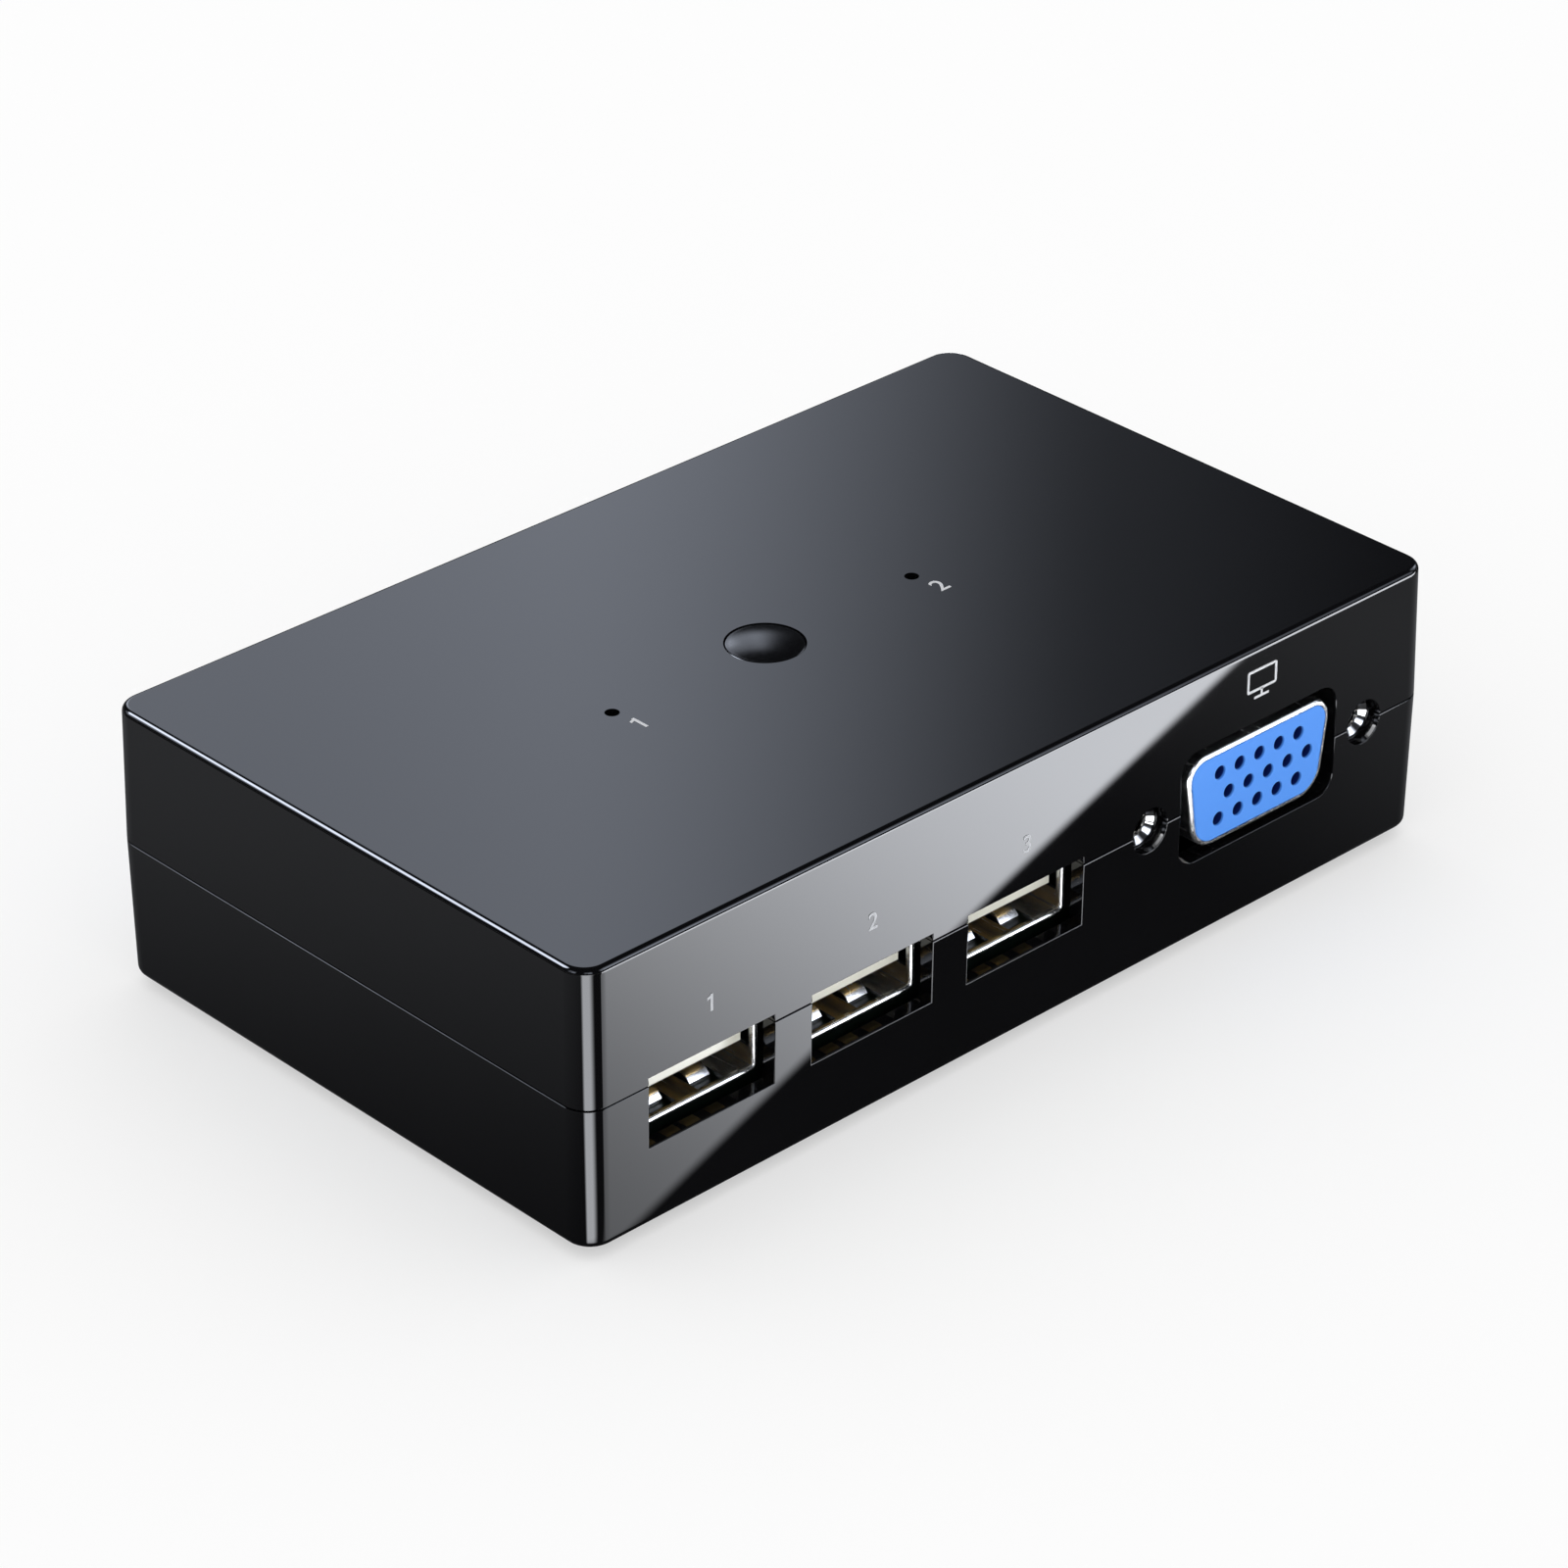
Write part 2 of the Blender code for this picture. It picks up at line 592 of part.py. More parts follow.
def build_select_button():
    """Domed button with a retaining flange under the roof and a stem to the switch."""
    crown = BUTTON_CROWN
    rim = -BUTTON_RIM_DROP
    rise = crown - rim
    dome_radius = (BUTTON_RADIUS ** 2 + rise ** 2) / (2 * rise)
    edge_angle = asin(BUTTON_RADIUS / dome_radius)
    flange_top = -ROOF - CLEARANCE
    flange_under = flange_top - BUTTON_FLANGE
    stem_low = SEAT_Z + PLUNGER_HEIGHT + CLEARANCE - TOP_Z
    profile = [
        (BUTTON_STEM_RADIUS, stem_low),
        (BUTTON_STEM_RADIUS, flange_under),
        (BUTTON_FLANGE_RADIUS, flange_under),
        (BUTTON_FLANGE_RADIUS, flange_top),
        (BUTTON_RADIUS, flange_top),
    ]
    for step in range(DOME_STEPS):
        angle = edge_angle * (1 - step / DOME_STEPS)
        profile.append((dome_radius * sin(angle), crown - dome_radius * (1 - cos(angle))))
    button = add_object("select_button", turned(bmesh.new(), profile, 24), "gloss_black_button")
    place(button, (BUTTON_X, TOP_LINE_Y, TOP_Z))


def build_tactile_switch():
    """Tactile switch under the button: a welled base, a cover plate and a sliding plunger."""
    at = (BUTTON_X, TOP_LINE_Y, SEAT_Z)
    side = (SWITCH_SIDE, SWITCH_SIDE)
    base = add_object("switch_base", slab(bmesh.new(), side, 0.0, SWITCH_BODY_HEIGHT),
                      "black_insulator")
    well = [(SWITCH_WELL_RADIUS, SWITCH_WELL_FLOOR), (SWITCH_WELL_RADIUS, 2 * SWITCH_BODY_HEIGHT)]
    combine(base, turned(bmesh.new(), well, 16), "DIFFERENCE")
    place(base, at)

    cover_low = SWITCH_BODY_HEIGHT + CLEARANCE
    cover = add_object("switch_cover", slab(bmesh.new(), side, cover_low, cover_low + SWITCH_COVER),
                       "nickel_plate")
    hole_radius = PLUNGER_RADIUS + CLEARANCE
    combine(cover, turned(bmesh.new(), [(hole_radius, 0.0), (hole_radius, 2 * cover_low)], 16),
            "DIFFERENCE")
    place(cover, at)

    collar_top = SWITCH_BODY_HEIGHT - CLEARANCE
    collar_low = collar_top - PLUNGER_COLLAR
    profile = [
        (PLUNGER_RADIUS / 2, collar_low - CLEARANCE),
        (PLUNGER_RADIUS, collar_low),
        (PLUNGER_COLLAR_RADIUS, collar_low),
        (PLUNGER_COLLAR_RADIUS, collar_top),
        (PLUNGER_RADIUS, collar_top),
        (PLUNGER_RADIUS, PLUNGER_HEIGHT),
    ]
    plunger = add_object("switch_plunger", turned(bmesh.new(), profile, 16), "black_insulator")
    place(plunger, at)


def build_status_lights():
    """Two board-mounted lights, each with a light pipe up to its pinhole in the roof."""
    led_ring = rectangle((LED_LENGTH, LED_WIDTH))
    lens_ring = rectangle((LED_LENGTH * 0.6, LED_WIDTH * 0.7))
    led_rings = [
        lying(led_ring, 0.0),
        lying(led_ring, LED_HEIGHT / 2),
        lying(lens_ring, LED_HEIGHT / 2),
        lying(lens_ring, LED_HEIGHT),
    ]
    led = add_object("status_led_1", loft(bmesh.new(), led_rings), "led_resin")
    place_copies(led, [(f"status_led_{i + 1}", (x, TOP_LINE_Y, SEAT_Z), 0.0)
                       for i, x in enumerate(LIGHT_X)])

    pipe_top = TOP_Z - SEAT_Z - LIGHT_TIP_DROP
    shoulder = ROOF_Z - SEAT_Z - CLEARANCE
    foot = LED_HEIGHT + CLEARANCE
    profile = [
        (LIGHT_PIPE_RADIUS, foot),
        (LIGHT_PIPE_RADIUS, shoulder),
        (LIGHT_TIP_RADIUS, shoulder),
        (LIGHT_TIP_RADIUS, pipe_top),
    ]
    pipe = add_object("light_pipe_1", turned(bmesh.new(), profile, 12), "clear_pipe")
    place_copies(pipe, [(f"light_pipe_{i + 1}", (x, TOP_LINE_Y, SEAT_Z), 0.0)
                        for i, x in enumerate(LIGHT_X)])


def build_usb_a_sockets():
    """USB-A sockets: a folded metal shell with spring fingers, and a tongue inside it."""
    outer = [side + 2 * SHEET for side in USB_A_MOUTH]
    mouth_ring = rounded_rectangle(USB_A_MOUTH, USB_A_CORNER - SHEET, SMALL_CORNER_STEPS)
    outer_ring = rounded_rectangle(outer, USB_A_CORNER, SMALL_CORNER_STEPS)
    back = USB_A_LENGTH
    body = loft(bmesh.new(), [
        facing(mouth_ring, back - SHEET),
        facing(mouth_ring, 0.0),
        facing(outer_ring, 0.0),
        facing(outer_ring, back),
    ])
    shell = add_object("usb_a_shell_1", body, "nickel_plate")
    combine(shell, finger_slits(outer[1] / 2), "DIFFERENCE")
    front_y = FRONT_Y + USB_A_SETBACK
    place_copies(shell, [(f"usb_a_shell_{i + 1}", (x, front_y, USB_A_Z), 0.0)
                         for i, x in enumerate(USB_A_XS)])

    base_size = [side - 2 * CLEARANCE for side in USB_A_MOUTH]
    base_back = back - SHEET - CLEARANCE
    base_front = base_back - TONGUE_BASE_DEPTH
    tip_size = (TONGUE_WIDTH - 2 * TONGUE_CHAMFER, TONGUE_THICKNESS - 2 * TONGUE_CHAMFER)
    tongue_ring = rectangle((TONGUE_WIDTH, TONGUE_THICKNESS))
    rise = (0.0, TONGUE_RISE)
    tongue_rings = [
        facing(rectangle(base_size), base_back),
        facing(rectangle(base_size), base_front),
        facing(tongue_ring, base_front, rise),
        facing(tongue_ring, TONGUE_SETBACK + TONGUE_CHAMFER, rise),
        facing(rectangle(tip_size), TONGUE_SETBACK, rise),
    ]
    tongue = add_object("usb_a_tongue_1", loft(bmesh.new(), tongue_rings), "cream_insulator")
    place_copies(tongue, [(f"usb_a_tongue_{i + 1}", (x, front_y, USB_A_Z), 0.0)
                          for i, x in enumerate(USB_A_XS)])


def finger_slits(half_height):
    """U-shaped slits that free two spring fingers in the top and two in the bottom sheet."""
    bm = bmesh.new()
    outer_x = FINGER_WIDTH / 2 + FINGER_SLIT
    inner_x = FINGER_WIDTH / 2
    tip = FINGER_START + FINGER_SLIT
    root = FINGER_START + FINGER_LENGTH
    outline = [Vector(point) for point in (
        (-outer_x, FINGER_START), (outer_x, FINGER_START), (outer_x, root), (inner_x, root),
        (inner_x, tip), (-inner_x, tip), (-inner_x, root), (-outer_x, root),
    )]
    for side in (-1, 1):
        z = side * (half_height - SHEET / 2)
        for x in (-FINGER_X, FINGER_X):
            loft(bm, [lying(outline, z - SHEET, (x, 0.0)), lying(outline, z + SHEET, (x, 0.0))])
    return bm


def build_usb_b_sockets():
    """USB-B sockets: a metal shell round a block whose mouth holds a central tongue."""
    inner = [side - 2 * SHEET for side in USB_B_SIZE]
    body = loft(bmesh.new(), [
        facing(rectangle(inner), USB_B_LENGTH - SHEET),
        facing(rectangle(inner), 0.0),
        facing(rectangle(USB_B_SIZE), 0.0),
        facing(rectangle(USB_B_SIZE), USB_B_LENGTH),
    ])
    shell = add_object("usb_b_shell_1", body, "nickel_plate")
    front_y = BACK_Y - USB_B_SETBACK
    spots = [(side * USB_B_X, front_y, USB_B_Z) for side in (1, -1)]
    place_copies(shell, [(f"usb_b_shell_{i + 1}", spot, HALF_TURN)
                         for i, spot in enumerate(spots)])

    block = rectangle([side - 2 * CLEARANCE for side in inner])
    block_back = USB_B_LENGTH - SHEET - CLEARANCE
    body = loft(bmesh.new(), [facing(block, USB_B_FACE_SETBACK), facing(block, block_back)])
    insulator = add_object("usb_b_insulator_1", body, "black_insulator")
    half_x, half_z = USB_B_MOUTH[0] / 2, USB_B_MOUTH[1] / 2
    shoulder_x = half_x - USB_B_MOUTH_CHAMFER
    shoulder_z = half_z - USB_B_MOUTH_CHAMFER
    mouth = [Vector(point) for point in (
        (-half_x, -half_z), (half_x, -half_z), (half_x, shoulder_z),
        (shoulder_x, half_z), (-shoulder_x, half_z), (-half_x, shoulder_z),
    )]
    mouth_end = USB_B_FACE_SETBACK + USB_B_MOUTH_DEPTH
    combine(insulator, loft(bmesh.new(), [facing(mouth, -SHEET), facing(mouth, mouth_end)]),
            "DIFFERENCE")
    tongue = rectangle(USB_B_TONGUE)
    tongue_front = USB_B_FACE_SETBACK + USB_B_TONGUE_SETBACK
    tongue_root = mouth_end + USB_B_TONGUE_SETBACK
    combine(insulator, loft(bmesh.new(), [facing(tongue, tongue_front), facing(tongue, tongue_root)]),
            "UNION")
    place_copies(insulator, [(f"usb_b_insulator_{i + 1}", spot, HALF_TURN)
                             for i, spot in enumerate(spots)])


def build_video_sockets():
    """High-density video sockets: flanged collar, drilled insulator, rear housing, jack nuts."""
    places = {kind: [(f"{name}_{kind}", (x, y, VIDEO_Z), turn) for name, x, y, turn in VIDEO_SOCKETS]
              for kind in ("shell", "insulator", "housing")}
    place_copies(video_shell(places["shell"][0][0]), places["shell"])
    place_copies(video_insulator(places["insulator"][0][0]), places["insulator"])
    place_copies(video_housing(places["housing"][0][0]), places["housing"])
    nut_places = []
    for name, x, y, turn in VIDEO_SOCKETS:
        for label, side in (("left", -1), ("right", 1)):
            nut_x = x + side * cos(turn) * JACK_SPACING / 2
            nut_places.append((f"{name}_jack_{label}", (nut_x, y, VIDEO_Z), turn))
    place_copies(jack_nut(nut_places[0][0]), nut_places)


def video_shell(name):
    """A D-shaped metal collar standing on a flange that has a hole behind each jack nut."""
    inner = [side - 2 * SHEET for side in VIDEO_COLLAR]
    outer_ring = socket_outline(VIDEO_COLLAR, VIDEO_CORNER)
    inner_ring = socket_outline(inner, VIDEO_CORNER - SHEET)
    flange_ring = rounded_rectangle(VIDEO_FLANGE, VIDEO_FLANGE_CORNER, CORNER_STEPS - 2)
    flange_back = VIDEO_COLLAR_DEPTH + VIDEO_FLANGE_THICKNESS
    body = loft(bmesh.new(), [
        facing(outer_ring, VIDEO_RIM_SETBACK),
        facing(outer_ring, VIDEO_COLLAR_DEPTH),
        facing(flange_ring, VIDEO_COLLAR_DEPTH),
        facing(flange_ring, flange_back),
        facing(inner_ring, flange_back),
        facing(inner_ring, VIDEO_RIM_SETBACK),
    ], closed=True)
    shell = add_object(name, body, "nickel_plate")
    holes = bmesh.new()
    for side in (-1, 1):
        centre = (side * JACK_SPACING / 2, 0.0)
        hole = circle(FLANGE_HOLE_RADIUS, 10)
        loft(holes, [facing(hole, VIDEO_COLLAR_DEPTH / 2, centre), facing(hole, 2 * flange_back, centre)])
    combine(shell, holes, "DIFFERENCE")
    return shell


def video_insulator(name):
    """The blue contact block, drilled with three staggered rows of pin holes."""
    outline = socket_outline(VIDEO_FACE, VIDEO_CORNER - 2 * SHEET)
    back = VIDEO_COLLAR_DEPTH + VIDEO_FLANGE_THICKNESS
    insulator = add_object(name, loft(bmesh.new(), [facing(outline, 0.0), facing(outline, back)]),
                           "blue_insulator")
    holes = bmesh.new()
    hole = circle(PIN_HOLE_RADIUS, 8)
    for row_z, shift in PIN_ROWS:
        for i in range(PINS_IN_ROW):
            centre = ((i - (PINS_IN_ROW - 1) / 2) * PIN_PITCH + shift, row_z)
            loft(holes, [facing(hole, -PIN_HOLE_RADIUS, centre), facing(hole, PIN_HOLE_DEPTH, centre)])
    combine(insulator, holes, "DIFFERENCE")
    return insulator


def video_housing(name):
    """The stepped plastic block behind the flange that carries the pins down to the board."""
    front = VIDEO_COLLAR_DEPTH + VIDEO_FLANGE_THICKNESS + CLEARANCE
    low = SEAT_Z - VIDEO_Z
    step_z = low + HOUSING_STEP_HEIGHT
    high = low + HOUSING_SIZE[1]
    side_view = ((front, low), (front + HOUSING_DEPTH, low), (front + HOUSING_DEPTH, step_z),
                 (front + HOUSING_UPPER_DEPTH, step_z), (front + HOUSING_UPPER_DEPTH, high),
                 (front, high))
    half = HOUSING_SIZE[0] / 2
    rings = [[Vector((x, y, z)) for y, z in side_view] for x in (-half, half)]
    return add_object(name, loft(bmesh.new(), rings), "black_insulator")


def jack_nut(name):
    """A hexagonal jack nut with a round, countersunk nose that stands in the case's hole."""
    sides = 12
    nose = circle(JACK_NOSE_RADIUS, sides)
    mouth = circle(JACK_BORE_RADIUS + JACK_COUNTERSINK, sides)
    bore = circle(JACK_BORE_RADIUS, sides)
    hexagon_ring = hexagon(JACK_HEX_ACROSS, sides)
    shoulder = WALL + CLEARANCE
    back = VIDEO_COLLAR_DEPTH - CLEARANCE
    body = loft(bmesh.new(), [
        facing(mouth, JACK_NOSE_SETBACK),
        facing(nose, JACK_NOSE_SETBACK),
        facing(nose, shoulder),
        facing(hexagon_ring, shoulder),
        facing(hexagon_ring, back),
        facing(bore, back),
        facing(bore, JACK_NOSE_SETBACK + JACK_COUNTERSINK),
    ], closed=True)
    return add_object(name, body, "nickel_plate")


def build_board_pieces():
    """Chips, a crystal and two capacitors on the board."""
    for name, x, y, length, width, height in CHIPS:
        base = rectangle((length, width))
        top = rectangle((length - 2 * CHIP_EDGE, width - 2 * CHIP_EDGE))
        rings = [lying(base, 0.0), lying(base, height - CHIP_EDGE), lying(top, height)]
        chip = add_object(name, loft(bmesh.new(), rings), "chip_epoxy")
        place(chip, (x, y, SEAT_Z))

    can_ring = rounded_rectangle(CRYSTAL_SIZE, CRYSTAL_SIZE[1] * 0.45, SMALL_CORNER_STEPS)
    can = loft(bmesh.new(), [lying(can_ring, 0.0), lying(can_ring, CRYSTAL_HEIGHT)])
    place(add_object("crystal", can, "aluminium_can"), (CRYSTAL_X, CRYSTAL_Y, SEAT_Z))

    neck = CAPACITOR_RADIUS - CAPACITOR_CRIMP
    crimp_z = CAPACITOR_HEIGHT / 5
    profile = [
        (CAPACITOR_RADIUS, 0.0),
        (CAPACITOR_RADIUS, crimp_z),
        (neck, crimp_z + CAPACITOR_CRIMP),
        (CAPACITOR_RADIUS, crimp_z + 2 * CAPACITOR_CRIMP),
        (CAPACITOR_RADIUS, CAPACITOR_HEIGHT - CAPACITOR_CRIMP),
        (neck, CAPACITOR_HEIGHT),
    ]
    capacitor = add_object("capacitor_1", turned(bmesh.new(), profile, 14), "aluminium_can")
    place_copies(capacitor, [(f"capacitor_{i + 1}", (x, y, SEAT_Z), 0.0)
                             for i, (x, y) in enumerate(CAPACITOR_PLACES)])


def main():
    """Clear the scene and build the assembly."""
    for old in list(bpy.data.objects):
        bpy.data.objects.remove(old)
    assembly = bpy.data.objects.new("kvm_switch", None)
    bpy.context.scene.collection.objects.link(assembly)
    build_upper_shell()
    build_lower_shell()
    build_case_screws()
    build_feet()
    build_circuit_board()
    build_select_button()
    build_tactile_switch()
    build_status_lights()
    build_usb_a_sockets()
    build_usb_b_sockets()
    build_video_sockets()
    build_board_pieces()


main()
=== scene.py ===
"""Finished surfaces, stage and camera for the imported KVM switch.

Laid out as an add-on and run as a script. Metres, +Z up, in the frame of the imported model.
"""
from contextlib import contextmanager
from functools import reduce
from math import asin, cos, degrees, pi, radians, sin, tan

import bmesh
import bpy
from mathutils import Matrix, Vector
from mathutils.geometry import intersect_line_line


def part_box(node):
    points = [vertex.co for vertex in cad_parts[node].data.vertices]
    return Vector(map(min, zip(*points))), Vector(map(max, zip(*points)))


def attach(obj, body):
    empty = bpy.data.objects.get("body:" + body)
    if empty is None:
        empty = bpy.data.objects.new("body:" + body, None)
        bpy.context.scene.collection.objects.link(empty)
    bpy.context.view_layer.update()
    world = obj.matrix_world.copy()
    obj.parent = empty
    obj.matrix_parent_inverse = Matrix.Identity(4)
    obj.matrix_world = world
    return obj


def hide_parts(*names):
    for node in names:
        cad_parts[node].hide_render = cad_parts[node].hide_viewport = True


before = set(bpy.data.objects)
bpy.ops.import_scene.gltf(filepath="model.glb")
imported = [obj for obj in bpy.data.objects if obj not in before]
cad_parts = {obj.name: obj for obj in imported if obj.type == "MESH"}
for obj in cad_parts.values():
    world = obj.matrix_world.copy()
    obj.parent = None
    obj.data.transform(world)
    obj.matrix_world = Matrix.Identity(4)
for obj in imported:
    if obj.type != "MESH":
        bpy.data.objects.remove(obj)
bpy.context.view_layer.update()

bl_info = {
    "name": "KVM Switch Finish",
    "version": (1, 0, 0),
    "blender": (4, 5, 0),
    "location": "3D View > Sidebar > KVM Switch",
    "description": "Finished shells, sockets, button, marks and stage of the KVM switch",
    "category": "Object",
}

MM = 0.001
X, Y, Z = 0, 1, 2
FRONT, BACK = -1, 1
UP = Vector((0.0, 0.0, 1.0))
EVEN = (1.0, 1.0, 1.0)
WHITE = (1.0, 1.0, 1.0, 1.0)
NEAR = 0.01 * MM
DOUBLES = 0.001 * MM
BODY = "housing"

# Cosines of two directions that count as the same, and that count as square to each other
SAME_WAY, SQUARE = 0.99, 0.2
SMOOTH_ANGLE = radians(30.0)

COVER_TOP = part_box("upper_shell")[1].z
TRAY_LOW, TRAY_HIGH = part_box("lower_shell")
BOARD_LOW, BOARD_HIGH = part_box("circuit_board")
FACE_Y = {FRONT: TRAY_LOW.y, BACK: TRAY_HIGH.y}

# Segments of round corners, edges and turned pieces
CORNER_STEPS, EDGE_STEPS, SMALL_STEPS = 12, 6, 3
ROUND_SIDES, SMALL_SIDES, BUTTON_SIDES = 64, 32, 96

USB_A_COUNT = 3
USB_B_COUNT = 2
VIDEO_SOCKETS = (("video_out", FRONT), ("video_in_1", BACK), ("video_in_2", BACK))
JACK_SIDES = ("left", "right")
SCREW_NODES = [f"case_screw_{i}" for i in (1, 2, 3, 4)]
FOOT_NODES = [f"foot_{i}" for i in (1, 2, 3, 4)]
LIGHT_NODES = ["light_pipe_1", "light_pipe_2"]


def mm(*sizes):
    """Sizes in millimetres, as metres."""
    return tuple(size * MM for size in sizes)


def length(label, note, default):
    """A size, with its default in millimetres."""
    return bpy.props.FloatProperty(
        name=label, description=note, default=default * MM, min=0.0, precision=5, unit="LENGTH")


def tint(label, note, default):
    """A linear colour."""
    return bpy.props.FloatVectorProperty(
        name=label, description=note, default=default, size=3, min=0.0, max=1.0, subtype="COLOR")


def level(label, note, default):
    """A brightness."""
    return bpy.props.FloatProperty(
        name=label, description=note, default=default, min=0.0, subtype="FACTOR")


class KvmCaseSettings(bpy.types.PropertyGroup):
    """Sizes and plastics of the case"""

    wall: length("Wall", "Thickness of the side walls", 1.8)
    roof: length("Roof", "Thickness of the roof", 1.8)
    floor: length("Floor", "Thickness of the floor", 2.0)
    corner: length("Corner", "Radius of the four upright corners", 2.25)
    roof_edge: length("Roof edge", "Radius of the edge round the roof", 0.52)
    floor_edge: length("Floor edge", "Radius of the edge round the floor", 0.7)
    roof_draft: length("Roof draft", "How far the walls draw in at the roof", 0.19)
    floor_draft: length("Floor draft", "How far the walls draw in at the floor", 0.15)
    seam_gap: length("Seam gap", "Gap between the two shells", 0.1)
    seam_edge: length("Seam edge", "Eased edge on both sides of the seam", 0.09)
    lip_land: length("Lip land", "Rim outside the seam's lip", 0.9)
    lip_height: length("Lip height", "How far the lip stands above the seam", 1.0)
    window_edge: length("Window edge", "Rounded edge of each window and hole", 0.08)
    plastic: tint("Plastic", "Gloss black plastic of the case", (0.0025, 0.0025, 0.0030))
    ink: tint("Ink", "Pale print of the light numbers and the sign", (0.58, 0.59, 0.61))
    port_ink: tint("Port ink", "Greyer print of the port numbers", (0.42, 0.43, 0.45))
    rubber: tint("Rubber", "Rubber of the feet", (0.022, 0.022, 0.023))


class KvmSocketSettings(bpy.types.PropertyGroup):
    """Sizes and materials of the sockets"""

    sheet: length("Sheet", "Thickness of the folded metal", 0.3)
    mouth_rim: length("Mouth rim", "Width of the rolled rim of a USB-A mouth", 0.55)
    rim_edge: length("Rim edge", "Rounded edge of the folded metal", 0.05)
    collar_sheet: length("Collar sheet", "Thickness of the video collar's rim", 0.4)
    collar_edge: length("Collar edge", "Rounded outer edge of the video collar", 0.28)
    contact: length("Contact", "Width of a plug contact", 1.4)
    pin_hole: length("Pin hole", "Radius of the video pin holes", 0.6)
    nickel: tint("Nickel", "Bright plating of the socket shells", (0.86, 0.85, 0.83))
    gold: tint("Gold", "Plating of the contacts", (1.0, 0.70, 0.25))
    blue: tint("Blue", "Video insulators", (0.085, 0.300, 0.880))
    # Painted shade: the blue darkens to this colour down the pin holes, by depth
    painted_pin_shade: tint("Pin shade", "Blue inside the pin holes", (0.006, 0.020, 0.150))
    cream: tint("Cream", "USB-A tongues", (0.97, 0.96, 0.84))
    black: tint("Black", "USB-B insulators and hidden mouldings", (0.018, 0.018, 0.019))


class KvmStageSettings(bpy.types.PropertyGroup):
    """Camera and light"""

    lens: bpy.props.FloatProperty(
        name="Lens", description="Focal length on a 36 mm sensor", default=131.28, min=1.0,
        unit="CAMERA")
    floor_tone: tint("Floor", "Pale floor", (0.47, 0.47, 0.47))
    world_level: level("World", "Brightness of the white surroundings", 1.0)
    lamp_level: level("Lamp", "Brightness of the soft lamp overhead", 0.12)
    table_glow: level("Table glow", "Light of the floor itself", 0.5)
    key_level: level("Key", "Brightness of the soft box behind on the left", 20.0)
    side_level: level("Side", "Brightness of the soft box in front on the right", 1.6)
    tent_level: level("Tent", "Brightness of the tent's windows", 1.85)
    tent_tint: tint("Tent tint", "Cool cloth of the tent", (0.79, 0.855, 1.0))
    card_level: level("Card", "Brightness of the bright stretch of the card", 9.0)
    strip_level: level("Strip", "Brightness of the card's strip at the corner", 8.2)
    card_tint: tint("Card tint", "Cool white of the card", (0.92, 0.945, 1.0))


def deselect_all():
    """Leave edit mode, and select nothing."""
    if bpy.context.mode != "OBJECT":
        bpy.ops.object.mode_set(mode="OBJECT")
    bpy.ops.object.select_all(action="DESELECT")


def make_active(piece):
    """Select one object alone."""
    deselect_all()
    piece.select_set(True)
    bpy.context.view_layer.objects.active = piece


def settle():
    """Put the active object's place in its mesh, and return it."""
    bpy.ops.object.transform_apply(location=True, rotation=True, scale=True)
    return bpy.context.object


@contextmanager
def editing(piece):
    """Edit mode on one object."""
    make_active(piece)
    bpy.ops.object.mode_set(mode="EDIT")
    yield
    bpy.ops.object.mode_set(mode="OBJECT")


def pick(kind, test):
    """In edit mode, select the VERT, EDGE or FACE elements that pass a test."""
    bpy.ops.mesh.select_mode(type=kind)
    bpy.ops.mesh.select_all(action="DESELECT")
    mesh = bpy.context.object.data
    model = bmesh.from_edit_mesh(mesh)
    elements = {"VERT": model.verts, "EDGE": model.edges, "FACE": model.faces}[kind]
    chosen = [element for element in elements if test(element)]
    if not chosen:
        raise RuntimeError(f"nothing to shape on {bpy.context.object.name}")
    for element in chosen:
        element.select_set(True)
    model.select_flush_mode()
    bmesh.update_edit_mesh(mesh)


def faces(axis, way):
    """A test for faces that look along an axis."""
    return lambda face: face.normal[axis] * way > SAME_WAY


def runs_along(axis):
    """A test for edges parallel to an axis."""
    def test(edge):
        reach = edge.verts[1].co - edge.verts[0].co
        return abs(reach.normalized()[axis]) > SAME_WAY
    return test


def lies_at(axis, value):
    """A test for edges in a plane across an axis."""
    return lambda edge: all(abs(vertex.co[axis] - value) < NEAR for vertex in edge.verts)


def outer_rim(axis, value, centre=Vector()):
    """A test for edges in a plane across an axis, beside a wall that looks away from a centre."""
    in_plane = lies_at(axis, value)

    def looks_away(face):
        away = face.calc_center_median() - centre
        away[axis] = 0.0
        return abs(face.normal[axis]) < SQUARE and face.normal.dot(away) > 0

    return lambda edge: in_plane(edge) and any(looks_away(face) for face in edge.link_faces)


def round_edges(test, width, steps=SMALL_STEPS):
    """Bevel the edges that pass a test."""
    pick("EDGE", test)
    bpy.ops.mesh.bevel(offset=width, segments=steps, affect="EDGES")


def rounded(piece, test, width, steps=SMALL_STEPS):
    """Bevel the edges of a piece that pass a test, and return the piece."""
    with editing(piece):
        round_edges(test, width, steps)
    return piece


def push(x=0.0, y=0.0, z=0.0):
    """Extrude what is selected."""
    bpy.ops.mesh.extrude_region_move(
        TRANSFORM_OT_translate={"value": (x, y, z), "orient_type": "GLOBAL"})


def inset_push(thickness, **way):
    """Inset the selected face and extrude what is left of it."""
    bpy.ops.mesh.inset(thickness=thickness)
    push(**way)


def add_block(low, high):
    """A block between two corners."""
    deselect_all()
    low, high = Vector(low), Vector(high)
    bpy.ops.mesh.primitive_cube_add(size=1.0, location=(low + high) / 2, scale=high - low)
    return settle()


def add_slab(middle, size, start_y, end_y):
    """A block with its middle and its size in XZ, between two places along Y."""
    (x, z), (half_x, half_z) = middle, (size[0] / 2, size[1] / 2)
    return add_block((x - half_x, start_y, z - half_z), (x + half_x, end_y, z + half_z))


